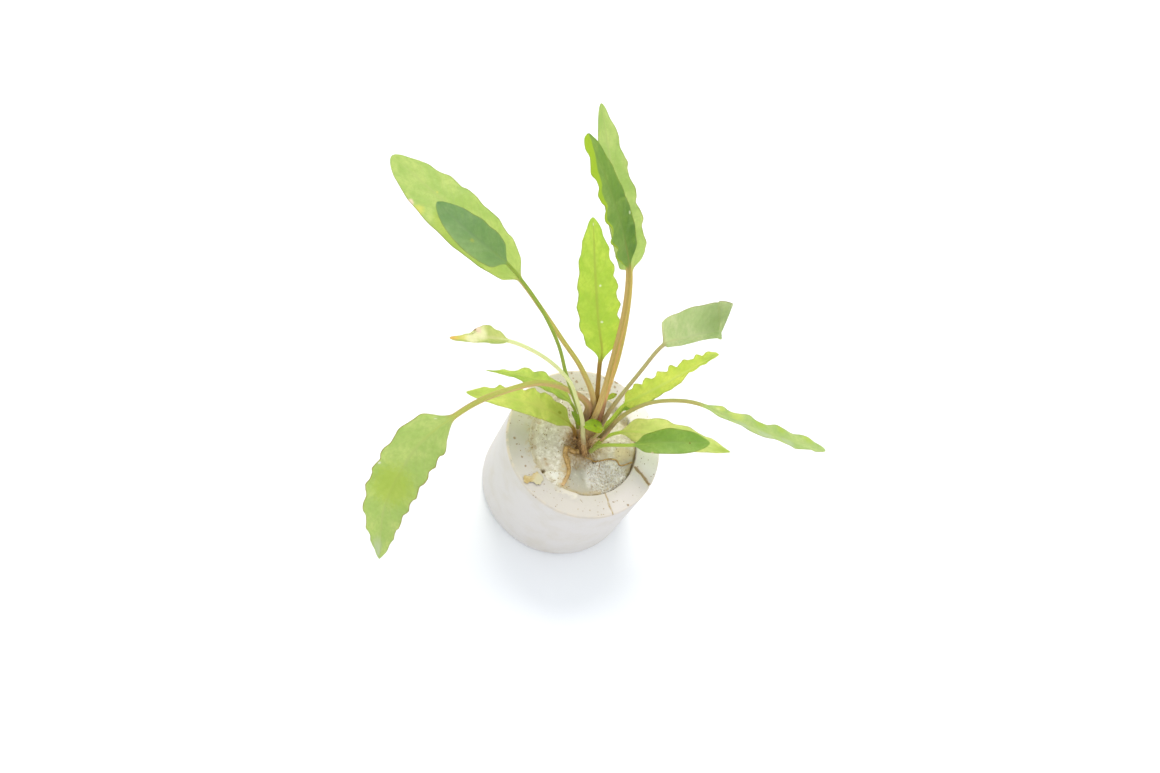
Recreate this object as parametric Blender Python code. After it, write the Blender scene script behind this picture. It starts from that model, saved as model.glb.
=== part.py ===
"""A small ruffled water plant growing in a squat, thick-walled pot.

The script builds in metres with +Z up. The origin is the middle of the pot's base,
so the pot stands on Z = 0. Looking along +Y, the arching leaf hangs at the front
left and the tall leaves stand at the back. The sizes below are in millimetres.
"""
import math

import bmesh
import bpy
import numpy as np
from mathutils import Vector

MM = 0.001

# Gap kept between neighbouring pieces
CLEARANCE = 0.3

# Pot
POT_RADIUS = 25.0
POT_HEIGHT = 38.0
HOLLOW_RADIUS = 17.5
HOLLOW_FLOOR = 7.0
FOOT_ROUNDING = 1.8
RIM_ROUNDING = 0.7
LIP_ROUNDING = 0.5
POT_SEGMENTS = 48

# Plug of growing medium: its level, and bumps as (x, y, reach, rise)
PLUG_LEVEL = 35.2
PLUG_RADIUS = HOLLOW_RADIUS - CLEARANCE
PLUG_BUMPS = {
    "mound on the left": (-10.0, -5.0, 9.0, 2.7),
    "wedge at the front": (-1.0, -14.0, 5.5, 2.2),
    "dip on the right": (12.5, -4.0, 7.5, -1.8),
}
PLUG_RING_RADII = (2.5, 5.0, 7.5, 10.0, 12.5, 15.0, PLUG_RADIUS)
PLUG_SEGMENTS = 32
CROWN_SEAT_REACH = 3.5

# Crown: levels of its outline as (height, radius); its axis leans from foot to top
CROWN_FOOT = (0.6, -1.0)
CROWN_TOP = (-1.2, 2.6)
CROWN_OUTLINE = ((36.2, 1.5), (38.0, 1.9), (41.0, 2.2), (43.0, 2.6), (43.8, 2.1))
CROWN_SEGMENTS = 12

# Roots: plan routes over the plug
MAIN_ROOT_RADIUS = 0.65
MAIN_ROOT = ((-1.0, -3.6), (-3.4, -4.6), (-3.6, -6.2), (-1.6, -8.2), (0.3, -10.2),
             (1.4, -13.0), (1.5, -15.6))
SIDE_ROOT_RADIUS = 0.4
SIDE_ROOT = ((4.4, -3.4), (7.0, -2.2), (10.4, 1.4), (13.4, 2.6), (15.6, 4.4))

# Leaf mesh
PETIOLE_RINGS = 8
BLADE_RINGS = 19
YOUNG_PETIOLE_RINGS = 4
YOUNG_BLADE_RINGS = 9
BLADE_THICKNESS = 0.6
ROUND_TO_FLAT = 0.16
LAST_RING = 0.985

# Each leaf follows a route from the crown to its tip. "blade" is the number of the
# route point where the petiole ends. Tilt turns the blade about its midrib, in
# degrees at its base and tip; fold lifts both halves out of the plane. A right half
# may be narrower by its share, or torn away from some place on.
LEAVES = {
    "leaf_left_long": {
        "route": ((-3.5, 3.9, 44.6), (-4.9, 6.8, 52), (-13.2, 8.5, 62), (-23, 7.9, 72),
                  (-33.8, 8.3, 81), (-41.7, 8.5, 87), (-55.3, 9.3, 93), (-71.8, 11.7, 95),
                  (-93.4, 17.4, 91)),
        "blade": 5, "petiole": 0.8, "half_width": 9.1, "right_share": 0.84, "tilt": (0, 0), "fold": 4,
        "ruffle": 0.4, "waves": 6, "widest": 0.46, "fullness": 0.55, "green": "fresh",
    },
    "leaf_left_inner": {
        "route": ((-1.6, 0, 44.6), (-4.4, 0.2, 49), (-9.5, 0, 57), (-16, 1.7, 66), (-22.6, 4.3, 74),
                  (-32.3, 5.7, 84), (-41, 6, 91), (-47, 5.8, 95), (-59.5, 5, 99), (-73.6, 8.4, 98)),
        "blade": 7, "petiole": 0.8, "half_width": 5.8, "tilt": (0, 0), "fold": 6,
        "ruffle": 0.4, "waves": 5, "widest": 0.42, "fullness": 0.6, "green": "deep",
    },
    "leaf_rear_tall": {
        "route": ((0.6, 4.8, 44.8), (-2.3, 9.2, 52), (-5.9, 16.2, 66), (-11.2, 22.2, 81.9),
                  (-16.8, 25.5, 95.9), (-23.9, 27.2, 109), (-34.8, 32.3, 121), (-48.9, 42.9, 133)),
        "blade": 4, "petiole": 0.8, "half_width": 4.5, "right_share": 1.2, "tilt": (0, 0), "fold": 10,
        "ruffle": 0.6, "waves": 6, "widest": 0.36, "fullness": 0.45, "green": "fresh",
    },
    "leaf_rear_front": {
        "route": ((-1.2, 2.6, 44.6), (-2.6, 4.8, 56), (-6.9, 10.3, 73), (-12.1, 17.2, 90),
                  (-17.6, 21.1, 103.8), (-23.8, 22.9, 114.7), (-34.3, 23.6, 129.8), (-46.3, 26.8, 140)),
        "blade": 4, "petiole": 0.8, "half_width": 5.6, "right_share": 0.72, "tilt": (0, 0), "fold": 12,
        "ruffle": 0.7, "waves": 8, "widest": 0.35, "fullness": 0.5, "green": "deep",
    },
    "leaf_centre": {
        "route": ((-1.4, 5.2, 44.6), (-4.6, 9.8, 50), (-9.6, 14.7, 60), (-17.2, 20.2, 72),
                  (-26.2, 27.7, 83), (-35.3, 38.4, 90)),
        "blade": 2, "petiole": 0.75, "half_width": 6.7, "tilt": (0, 0), "fold": 8,
        "ruffle": 0.5, "waves": 7, "widest": 0.42, "fullness": 0.7, "green": "bright",
    },
    "leaf_right_folded": {
        "route": ((1.6, 1.7, 44.6), (1, 5.7, 53), (1.8, 12, 74), (2.9, 16.1, 88), (6.1, 14.6, 99),
                  (9.2, 13.3, 108.5), (11.9, 12.2, 115.5), (13.2, 12.2, 117.2), (13.6, 14, 114.4),
                  (13.8, 16.3, 110.6), (13.9, 19.6, 105.2)),
        "blade": 3, "petiole": 0.7, "half_width": 8.9, "right_share": 0.24, "tilt": (-24, 4), "fold": 2,
        "ruffle": 0.2, "waves": 4, "widest": 0.55, "fullness": 0.25, "green": "pale",
    },
    "leaf_right_ruffled": {
        "route": ((1.1, 4.4, 41.5), (2.9, 6.9, 47.5), (3.7, 10.5, 54), (7.7, 15.4, 60), (13.3, 24, 66),
                  (19.5, 36.2, 68)),
        "blade": 2, "petiole": 0.55, "half_width": 3.8, "right_share": 0.9, "tilt": (20, 20), "fold": 22,
        "ruffle": 0.8, "waves": 7, "widest": 0.32, "fullness": 0.58, "green": "bright",
    },
    "leaf_right_drooping": {
        "route": ((3.6, 1.9, 42.5), (4.9, 7.3, 52), (9.4, 10.2, 64.3), (15.7, 12.5, 71), (21.5, 14, 74),
                  (31, 14.7, 76), (46.3, 19.3, 74), (63.5, 29.2, 66)),
        "blade": 4, "petiole": 0.7, "half_width": 4.3, "tilt": (38, 34), "fold": 12,
        "ruffle": 0.8, "waves": 8, "widest": 0.5, "fullness": 0.38, "green": "fresh",
    },
    "leaf_right_low_pale": {
        "route": ((3.4, 0.3, 38.3), (4.6, 4.2, 40.5), (7.2, 7.2, 42.5), (14.5, 11, 46), (27.5, 15.8, 48),
                  (40.6, 22, 45)),
        "blade": 2, "petiole": 0.6, "half_width": 5.0, "right_share": 0.85, "tilt": (0, 0), "fold": 5,
        "ruffle": 0.6, "waves": 5, "widest": 0.36, "fullness": 0.6, "green": "bright",
    },
    "leaf_right_low_dark": {
        "route": ((2.9, -2.1, 38.5), (4.7, 0.6, 41), (12.8, 4.5, 46), (21.5, 9.8, 51), (33, 18.2, 50)),
        "blade": 2, "petiole": 0.7, "half_width": 4.3, "tilt": (0, 0), "fold": 8,
        "ruffle": 0.4, "waves": 4, "widest": 0.5, "fullness": 0.65, "green": "deep",
    },
    "leaf_left_arching": {
        "route": ((-3.6, 1.5, 44.6), (-5.6, 4.1, 53), (-12.3, 2.6, 57.5), (-21, -3, 62),
                  (-27.4, -11.8, 65), (-33, -20, 64), (-36.7, -26.5, 60), (-41, -38.2, 54),
                  (-40.5, -52, 37), (-33.3, -61.4, 16)),
        "blade": 6, "petiole": 0.9, "half_width": 7.8, "tilt": (0, 0), "fold": 6,
        "ruffle": 0.5, "waves": 8, "widest": 0.4, "fullness": 0.5, "green": "fresh",
    },
    "leaf_left_low": {
        "route": ((-2.9, -0.9, 39), (-5.5, -0.3, 43), (-14.4, -1.3, 46), (-24.6, -5.9, 49),
                  (-39, -12.2, 47)),
        "blade": 1, "petiole": 0.7, "half_width": 4.3, "tilt": (-8, -8), "fold": 8,
        "ruffle": 0.7, "waves": 6, "widest": 0.38, "fullness": 0.75, "green": "bright",
    },
    "leaf_left_narrow": {
        "route": ((-3.9, 1.5, 41), (-9.3, 4.1, 47), (-16.8, 4, 50), (-25, 1.4, 52), (-37.8, -4.8, 52)),
        "blade": 1, "petiole": 0.7, "half_width": 3.2, "tilt": (-15, -15), "fold": 12,
        "ruffle": 0.8, "waves": 6, "widest": 0.38, "fullness": 0.85, "green": "fresh",
    },
    "leaf_yellowing": {
        "route": ((2.1, -3.5, 38.5), (-1.7, -2.5, 47), (-4.4, -1.9, 54), (-9.3, -1.7, 63),
                  (-14, -1.6, 70), (-21.4, -2.8, 76), (-28.3, -4.5, 79), (-35, -7.7, 82),
                  (-41.3, -12.3, 84), (-49.4, -18.4, 84)),
        "blade": 7, "petiole": 0.7, "half_width": 2.6, "right_share": 1.5, "tilt": (-16, -16), "fold": 12,
        "ruffle": 0.3, "waves": 3, "widest": 0.4, "fullness": 0.7, "green": "yellow",
        "torn_from": 0.55,
    },
    "leaf_young_front": {
        "route": ((1.2, -0.7, 43), (2.1, 0.4, 46), (1.9, 1.3, 50), (-0.4, -0.4, 52.3), (-2, -1.8, 52.5)),
        "blade": 2, "petiole": 0.5, "half_width": 2.5, "tilt": (0, 0), "fold": 10,
        "ruffle": 0.1, "waves": 2, "widest": 0.45, "fullness": 0.6, "green": "bright", "young": True,
    },
    "leaf_young_right": {
        "route": ((2.6, 2.6, 40.3), (4.3, 6.5, 45.5), (5.4, 10.5, 50), (8.7, 15.5, 54), (13, 19, 52)),
        "blade": 2, "petiole": 0.5, "half_width": 1.7, "tilt": (0, 0), "fold": 10,
        "ruffle": 0.3, "waves": 3, "widest": 0.45, "fullness": 0.7, "green": "deep", "young": True,
    },
    "leaf_young_rear": {
        "route": ((-1, 5.3, 42), (-0.4, 9.6, 47), (0.5, 14.5, 50)),
        "blade": 1, "petiole": 0.5, "half_width": 1.2, "tilt": (0, 0), "fold": 10,
        "ruffle": 0.1, "waves": 2, "widest": 0.45, "fullness": 0.7, "green": "bright", "young": True,
    },
    "leaf_young_left": {
        "route": ((-3.1, -1.4, 42), (-4.8, -1.8, 46), (-7, -1.4, 49), (-8.9, 0.1, 51)),
        "blade": 1, "petiole": 0.5, "half_width": 1.4, "tilt": (0, 0), "fold": 10,
        "ruffle": 0.1, "waves": 2, "widest": 0.45, "fullness": 0.7, "green": "deep", "young": True,
    },
}

# Section around a stem, as a circle and as a flat blade: (across, up) pairs
SECTION_SIDES = 8
TORN_SHARE = 0.3
EDGE_SCALLOP = 0.05
FLAT_ACROSS = (-1.0, -0.5, 0.0, 0.5, 1.0, 0.5, 0.0, -0.5)
FLAT_UP = (0, 1, 1, 1, 0, -1, -1, -1)

# Materials: colour, roughness
COLOURS = {
    "cement": ((0.74, 0.73, 0.69), 0.85),
    "medium": ((0.52, 0.49, 0.42), 0.80),
    "crown": ((0.36, 0.22, 0.13), 0.55),
    "root": ((0.62, 0.42, 0.20), 0.55),
    "fresh": ((0.36, 0.56, 0.13), 0.45),
    "bright": ((0.46, 0.66, 0.08), 0.45),
    "deep": ((0.16, 0.36, 0.12), 0.45),
    "pale": ((0.33, 0.52, 0.20), 0.45),
    "yellow": ((0.66, 0.62, 0.26), 0.50),
}


def clear_scene():
    """Remove every object, so that only the plant is left."""
    for item in list(bpy.data.objects):
        bpy.data.objects.remove(item, do_unlink=True)


def make_material(name):
    colour, roughness = COLOURS[name]
    material = bpy.data.materials.new(name)
    material.use_nodes = True
    shader = material.node_tree.nodes["Principled BSDF"]
    shader.inputs["Base Color"].default_value = (*colour, 1.0)
    shader.inputs["Roughness"].default_value = roughness
    shader.inputs["Metallic"].default_value = 0.0
    return material


def add_object(name, mesh, material_name, sharp_angle=40.0):
    """Link a mesh as one smooth-shaded object with its own material."""
    mesh.shade_smooth()
    mesh.set_sharp_from_angle(angle=math.radians(sharp_angle))
    mesh.materials.append(make_material(material_name))
    item = bpy.data.objects.new(name, mesh)
    bpy.context.collection.objects.link(item)
    return item


def mesh_from_rings(name, rings, start=None, end=None):
    """Close a stack of rings (arrays in millimetres) into one solid.

    The second half of each ring is split along the mirrored diagonals, so that the two
    sides of a thin, twisted blade stay parallel. An end is capped by a fan to the given
    point, or else by one flat face.
    """
    bm = bmesh.new()
    loops = [[bm.verts.new(Vector(point) * MM) for point in ring] for ring in rings]
    sides = len(loops[0])
    for low, high in zip(loops, loops[1:]):
        for i in range(sides):
            j = (i + 1) % sides
            if i < sides // 2:
                bm.faces.new((low[i], low[j], high[j]))
                bm.faces.new((low[i], high[j], high[i]))
            else:
                bm.faces.new((low[i], low[j], high[i]))
                bm.faces.new((low[j], high[j], high[i]))
    for loop, tip in ((loops[0], start), (loops[-1], end)):
        if tip is None:
            bm.faces.new(loop)
            continue
        centre = bm.verts.new(Vector(tip) * MM)
        for i in range(len(loop)):
            bm.faces.new((loop[i], loop[(i + 1) % len(loop)], centre))
    bmesh.ops.recalc_face_normals(bm, faces=bm.faces)
    mesh = bpy.data.meshes.new(name)
    bm.to_mesh(mesh)
    bm.free()
    return mesh


def corner(centre, radius, start_degrees, steps=4):
    """Points of a rounded corner in a turned outline, as (radius, height)."""
    angles = np.radians(np.linspace(start_degrees, start_degrees + 90.0, steps))
    return [(centre[0] + radius * math.cos(a), centre[1] + radius * math.sin(a)) for a in angles]


def pot_outline():
    """Half section of the pot, from the middle of its base round to its hollow's floor."""
    wall = POT_RADIUS
    outline = [(0.0, 0.0)]
    outline += corner((wall - FOOT_ROUNDING, FOOT_ROUNDING), FOOT_ROUNDING, -90.0)
    outline += corner((wall - RIM_ROUNDING, POT_HEIGHT - RIM_ROUNDING), RIM_ROUNDING, 0.0, 3)
    outline += corner((HOLLOW_RADIUS + LIP_ROUNDING, POT_HEIGHT - LIP_ROUNDING), LIP_ROUNDING, 90.0, 3)
    outline += [(HOLLOW_RADIUS, HOLLOW_FLOOR), (0.0, HOLLOW_FLOOR)]
    return outline


def build_pot():
    bm = bmesh.new()
    verts = [bm.verts.new((r * MM, 0.0, z * MM)) for r, z in pot_outline()]
    edges = [bm.edges.new(pair) for pair in zip(verts, verts[1:])]
    bmesh.ops.spin(bm, geom=verts + edges, cent=(0, 0, 0), axis=(0, 0, 1),
                   angle=2.0 * math.pi, steps=POT_SEGMENTS)
    bmesh.ops.remove_doubles(bm, verts=bm.verts, dist=0.001 * MM)
    bmesh.ops.dissolve_degenerate(bm, edges=bm.edges, dist=0.001 * MM)
    bmesh.ops.recalc_face_normals(bm, faces=bm.faces)
    mesh = bpy.data.meshes.new("pot")
    bm.to_mesh(mesh)
    bm.free()
    add_object("pot", mesh, "cement", sharp_angle=50.0)


def plug_height(x, y):
    """Height of the plug's surface, which is level just around the crown."""
    height = PLUG_LEVEL
    for bump_x, bump_y, reach, rise in PLUG_BUMPS.values():
        distance = math.hypot(x - bump_x, y - bump_y) / reach
        height += rise * math.exp(-distance ** 2 * 1.5)
    seat = math.exp(-(math.hypot(x - CROWN_FOOT[0], y - CROWN_FOOT[1]) / CROWN_SEAT_REACH) ** 4)
    seat_height = CROWN_OUTLINE[0][0] - CLEARANCE
    return height + (seat_height - height) * seat


def build_plug():
    angles = [2.0 * math.pi * i / PLUG_SEGMENTS for i in range(PLUG_SEGMENTS)]
    rings = []
    for radius in PLUG_RING_RADII:
        spots = [(radius * math.cos(a), radius * math.sin(a)) for a in angles]
        rings.append([(x, y, plug_height(x, y)) for x, y in spots])
    floor = HOLLOW_FLOOR + CLEARANCE
    rings.append([(x, y, floor) for x, y, _ in rings[-1]])
    mesh = mesh_from_rings("plug", rings, start=(0.0, 0.0, plug_height(0.0, 0.0)))
    add_object("plug", mesh, "medium", sharp_angle=50.0)


def build_crown():
    foot, top = np.array(CROWN_FOOT), np.array(CROWN_TOP)
    low, high = CROWN_OUTLINE[0][0], CROWN_OUTLINE[-1][0]
    rings = []
    for height, radius in CROWN_OUTLINE:
        x, y = foot + (top - foot) * (height - low) / (high - low)
        angles = [2.0 * math.pi * i / CROWN_SEGMENTS for i in range(CROWN_SEGMENTS)]
        rings.append([(x + radius * math.cos(a), y + radius * math.sin(a), height) for a in angles])
    add_object("crown", mesh_from_rings("crown", rings), "crown")


def build_root(name, plan_route, radius):
    """Lay a round root over the plug, a small gap above its surface."""
    curve = bpy.data.curves.new(name, "CURVE")
    curve.dimensions = "3D"
    curve.bevel_depth = radius * MM
    curve.bevel_resolution = 2
    curve.use_fill_caps = True
    flat = [(x, y, 0.0) for x, y in plan_route]
    path = smooth_path(flat, 3 * len(flat))[0]
    spline = curve.splines.new("POLY")
    spline.points.add(len(path) - 1)
    for point, (x, y, _) in zip(spline.points, path):
        z = plug_height(x, y) + radius + 2.0 * CLEARANCE
        point.co = (x * MM, y * MM, z * MM, 1.0)
    curve.materials.append(make_material("root"))
    item = bpy.data.objects.new(name, curve)
    bpy.context.collection.objects.link(item)


def dense_curve(points, per_span=16):
    """Sample a smooth curve through the points, with the place of each point in it."""
    points = np.array(points, float)
    knots = np.r_[0.0, np.cumsum(np.sqrt(np.linalg.norm(np.diff(points, axis=0), axis=1)))]
    slopes = np.gradient(points, knots, axis=0)
    samples = [points[0]]
    for i in range(len(points) - 1):
        span = knots[i + 1] - knots[i]
        for s in np.linspace(0.0, 1.0, per_span + 1)[1:]:
            samples.append((2 * s ** 3 - 3 * s ** 2 + 1) * points[i]
                           + (s ** 3 - 2 * s ** 2 + s) * span * slopes[i]
                           + (3 * s ** 2 - 2 * s ** 3) * points[i + 1]
                           + (s ** 3 - s ** 2) * span * slopes[i + 1])
    samples = np.array(samples)
    lengths = np.r_[0.0, np.cumsum(np.linalg.norm(np.diff(samples, axis=0), axis=1))]
    return samples, lengths, lengths[::per_span]


def along(samples, lengths, places):
    """Points and unit directions at the given lengths along a sampled curve."""
    def at(where):
        return np.stack([np.interp(where, lengths, samples[:, k]) for k in range(3)], axis=1)
    reach = 0.02 * lengths[-1]
    ahead = at(np.minimum(places + reach, lengths[-1]))
    behind = at(np.maximum(places - reach, 0.0))
    directions = ahead - behind
    return at(places), directions / np.linalg.norm(directions, axis=1)[:, None]


def smooth_path(points, count):
    """Evenly spread points of a smooth curve through the given ones."""
    samples, lengths, _ = dense_curve(points)
    return along(samples, lengths, np.linspace(0.0, lengths[-1], count))


def blade_half_width(leaf, t):
    """Half width of a blade at t, from 0 at its base to 1 at its tip."""
    power = math.log(0.5) / math.log(leaf["widest"])
    swell = max(0.0, math.sin(math.pi * t ** power)) ** leaf["fullness"]
    stem = leaf["petiole"]
    return stem * (1.0 - t) + (leaf["half_width"] - stem * (1.0 - t)) * swell


def smoothstep(x):
    x = min(1.0, max(0.0, x))
    return x * x * (3.0 - 2.0 * x)


def blade_frame(leaf, direction, heading, t):
    """Unit vectors across the blade and out of its upper face."""
    across = np.array([heading[1], -heading[0], 0.0])
    across -= direction * across.dot(direction)
    across /= np.linalg.norm(across)
    face = np.cross(across, direction)
    base_tilt, tip_tilt = leaf["tilt"]
    tilt = math.radians(base_tilt + (tip_tilt - base_tilt) * max(0.0, t))
    return (across * math.cos(tilt) + face * math.sin(tilt),
            face * math.cos(tilt) - across * math.sin(tilt))


def flat_point(leaf, across, up, t):
    """A point of the blade's section: its distance across and its height."""
    side = 1.0 if across > 0 else -1.0
    wave = math.sin(2.0 * math.pi * leaf["waves"] * t + side)
    width = blade_half_width(leaf, t) * (1.0 + EDGE_SCALLOP * wave)
    if side > 0:
        width *= leaf.get("right_share", 1.0)
        width *= TORN_SHARE if t > leaf.get("torn_from", 1.0) else 1.0
    edge = abs(across)
    lift = edge * width * math.tan(math.radians(leaf["fold"]))
    lift += leaf["ruffle"] * edge ** 2 * wave * math.sqrt(max(0.0, math.sin(math.pi * t)))
    half_thickness = 0.5 * BLADE_THICKNESS * (1.0 - 0.5 * edge) * (1.0 - 0.4 * t)
    return across * width, lift + up * half_thickness


def leaf_ring(leaf, centre, direction, heading, t):
    """One closed ring of the leaf: round on the petiole, flat and ruffled on the blade."""
    across_axis, face_axis = blade_frame(leaf, direction, heading, t)
    flatness = smoothstep(t / ROUND_TO_FLAT)
    radius = leaf["petiole"]
    ring = []
    for k in range(SECTION_SIDES):
        angle = math.pi - 2.0 * math.pi * k / SECTION_SIDES
        round_across, round_up = radius * math.cos(angle), radius * math.sin(angle)
        flat_across, flat_up = flat_point(leaf, FLAT_ACROSS[k], FLAT_UP[k], max(0.0, t))
        across = round_across + (flat_across - round_across) * flatness
        up = round_up + (flat_up - round_up) * flatness
        ring.append(centre + across_axis * across + face_axis * up)
    return ring


def build_leaf(name, leaf):
    """Loft one leaf, petiole and blade in one piece, along its route."""
    samples, lengths, marks = dense_curve(leaf["route"])
    base, tip = marks[leaf["blade"]], lengths[-1]
    young = leaf.get("young", False)
    stem_rings = YOUNG_PETIOLE_RINGS if young else PETIOLE_RINGS
    blade_rings = YOUNG_BLADE_RINGS if young else BLADE_RINGS
    stem_places = np.linspace(0.0, base, stem_rings, endpoint=False)
    blade_places = base + (tip - base) * np.linspace(0.0, LAST_RING, blade_rings)
    places = np.r_[stem_places, blade_places]
    centres, directions = along(samples, lengths, places)
    heading = samples[-1] - np.array(leaf["route"][leaf["blade"]])
    heading /= np.linalg.norm(heading[:2])
    rings = [leaf_ring(leaf, centre, direction, heading, (place - base) / (tip - base))
             for centre, direction, place in zip(centres, directions, places)]
    mesh = mesh_from_rings(name, rings, end=samples[-1])
    add_object(name, mesh, leaf["green"], sharp_angle=70.0)


def main():
    clear_scene()
    build_pot()
    build_plug()
    build_crown()
    build_root("root_main", MAIN_ROOT, MAIN_ROOT_RADIUS)
    build_root("root_side", SIDE_ROOT, SIDE_ROOT_RADIUS)
    for name, leaf in LEAVES.items():
        build_leaf(name, leaf)


main()
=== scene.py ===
# %% [markdown]
# # A ruffled water plant in its pot
# The plant is a young cryptocoryne: thin, wavy leaves on long stalks that all rise from one
# short crown, set in a plug of wet fibre that fills a squat, thick-walled pot. The model's
# solids give every piece its true place and size. This lesson dresses them: each leaf is
# grown again as a thin blade along the same midrib, and the pot, the plug and the roots get
# the surface that the real ones have. Lengths in this script are in millimetres, and the
# last node of each tree turns them into metres.

import math

import bpy
import numpy as np
from mathutils import Matrix, Vector


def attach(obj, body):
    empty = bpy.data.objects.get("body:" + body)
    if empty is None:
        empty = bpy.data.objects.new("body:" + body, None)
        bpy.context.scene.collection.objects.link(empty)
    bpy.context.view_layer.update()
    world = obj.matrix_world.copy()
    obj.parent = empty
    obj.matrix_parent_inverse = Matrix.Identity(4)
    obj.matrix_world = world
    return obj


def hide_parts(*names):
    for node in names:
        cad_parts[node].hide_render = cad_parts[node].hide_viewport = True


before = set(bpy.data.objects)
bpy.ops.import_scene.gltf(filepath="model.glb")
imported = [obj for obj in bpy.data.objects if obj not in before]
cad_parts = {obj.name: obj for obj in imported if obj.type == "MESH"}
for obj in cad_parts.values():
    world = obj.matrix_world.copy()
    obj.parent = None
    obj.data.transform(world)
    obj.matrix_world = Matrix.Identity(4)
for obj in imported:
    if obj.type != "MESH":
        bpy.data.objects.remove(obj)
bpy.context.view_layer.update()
MM = 0.001
TURN = 2.0 * math.pi
print("solids loaded:", len(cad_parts))

# %% [markdown]
# ## The camera
# The pot's rim is a circle, so its ellipse in the picture tells how steeply the camera looks
# down, and the lean of the pot's sides tells how far the camera was turned about its own
# axis. A 50 mm lens about half a metre away gives the same perspective.

# %% Camera
LENS = 50.0
LOOK_HEIGHT = 30.0
CAMERA_DISTANCE = 514.0
CAMERA_ELEVATION = math.radians(62.1)
CAMERA_ROLL = math.radians(33.4)
CAMERA_SHIFT_RIGHT = 0.8
CAMERA_SHIFT_UP = 20.8


def add_camera():
    back = Vector((0.0, -math.cos(CAMERA_ELEVATION), math.sin(CAMERA_ELEVATION)))
    level = Vector((1.0, 0.0, 0.0))
    rise = back.cross(level)
    right = level * math.cos(CAMERA_ROLL) + rise * math.sin(CAMERA_ROLL)
    up = rise * math.cos(CAMERA_ROLL) - level * math.sin(CAMERA_ROLL)
    place = Vector((0.0, 0.0, LOOK_HEIGHT)) + back * CAMERA_DISTANCE
    place += right * CAMERA_SHIFT_RIGHT + up * CAMERA_SHIFT_UP
    camera = bpy.data.objects.new("camera", bpy.data.cameras.new("camera"))
    camera.data.lens = LENS
    camera.data.clip_start = 0.01
    turn = Matrix((right, up, back)).transposed().to_4x4()
    camera.matrix_world = Matrix.Translation(place * MM) @ turn
    bpy.context.scene.collection.objects.link(camera)
    bpy.context.scene.camera = camera
    return camera


camera = add_camera()
print("camera at", [round(v / MM, 1) for v in camera.location], "mm")

# %% [markdown]
# ## Floor and light
# The plant stands on a sheet so bright that it burns out to white, with only a soft bluish
# shadow at the front of the pot. That sheet matters: its light comes up through the thin
# leaves and makes them glow, and where one leaf covers another it turns dark green. A pale
# floor under an even bright sky does the same, with one large lamp high at the back left
# for the shadow.

# %% Floor, sky and lamp
FLOOR_SIZE = 6000.0
FLOOR_COLOUR = (0.93, 0.93, 0.94)
SKY_COLOUR = (0.91, 0.95, 1.0)
SKY_STRENGTH = 1.07
LAMP_COLOUR = (1.0, 0.97, 0.92)
LAMP_ENERGY = 19.0
LAMP_SIZE = 900.0
LAMP_PLACE = (-620.0, 900.0, 1500.0)


def plain_material(name, colour, roughness):
    material = bpy.data.materials.new(name)
    material.use_nodes = True
    shader = material.node_tree.nodes["Principled BSDF"]
    shader.inputs["Base Color"].default_value = (*colour, 1.0)
    shader.inputs["Roughness"].default_value = roughness
    return material


def add_floor():
    half = FLOOR_SIZE * MM / 2
    mesh = bpy.data.meshes.new("floor")
    corners = [(-half, -half, 0), (half, -half, 0), (half, half, 0), (-half, half, 0)]
    mesh.from_pydata(corners, [], [(0, 1, 2, 3)])
    mesh.materials.append(plain_material("floor", FLOOR_COLOUR, 0.9))
    floor = bpy.data.objects.new("floor", mesh)
    bpy.context.scene.collection.objects.link(floor)


def add_sky():
    world = bpy.data.worlds.new("sky")
    world.use_nodes = True
    background = world.node_tree.nodes["Background"]
    background.inputs["Color"].default_value = (*SKY_COLOUR, 1.0)
    background.inputs["Strength"].default_value = SKY_STRENGTH
    bpy.context.scene.world = world


def add_lamp():
    lamp = bpy.data.objects.new("lamp", bpy.data.lights.new("lamp", "AREA"))
    lamp.data.shape = "DISK"
    lamp.data.size = LAMP_SIZE * MM
    lamp.data.energy = LAMP_ENERGY
    lamp.data.color = LAMP_COLOUR
    place = Vector(LAMP_PLACE)
    turn = place.to_track_quat("Z", "Y").to_matrix().to_4x4()
    lamp.matrix_world = Matrix.Translation(place * MM) @ turn
    bpy.context.scene.collection.objects.link(lamp)


add_floor()
add_sky()
add_lamp()
bpy.context.scene.view_settings.view_transform = "Standard"
print("floor, sky and one lamp set")

# %% [markdown]
# ## Formulas in node trees
# A leaf's shape is a formula, and so is the mottling of its skin. Written node by node they
# would fill pages, so a small class lets a socket take part in ordinary arithmetic: every
# sum or product adds the Math node that does it. The same class serves Geometry Nodes and
# shaders, because both know these nodes.

# %% Arithmetic on sockets
def operation(name):
    """A function or method that adds the Math node of this name."""
    return lambda value, *others: reckon(value.tree, name, value, *others)


class Flow:
    """A socket that can be reckoned with: each operation adds a node to its tree."""

    def __init__(self, socket):
        self.socket = socket
        self.tree = socket.id_data
        self.is_vector = socket.type == "VECTOR"

    def __mul__(self, other):
        if self.is_vector and not is_vector(other):
            return self.scaled(other)
        return reckon(self.tree, "MULTIPLY", self, other)

    def __rsub__(self, other):
        return reckon(self.tree, "SUBTRACT", other, self)

    __rmul__ = __mul__
    __add__ = __radd__ = operation("ADD")
    __sub__ = operation("SUBTRACT")
    __truediv__ = operation("DIVIDE")
    __pow__ = operation("POWER")
    unit = operation("NORMALIZE")
    dot = operation("DOT_PRODUCT")
    cross = operation("CROSS_PRODUCT")
    length = operation("LENGTH")

    def scaled(self, factor):
        node = add_node(self.tree, "ShaderNodeVectorMath", {0: self, "Scale": factor},
                        operation="SCALE")
        return first(node)

    def parts(self):
        node = add_node(self.tree, "ShaderNodeSeparateXYZ", {0: self})
        return [Flow(output) for output in node.outputs]


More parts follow.
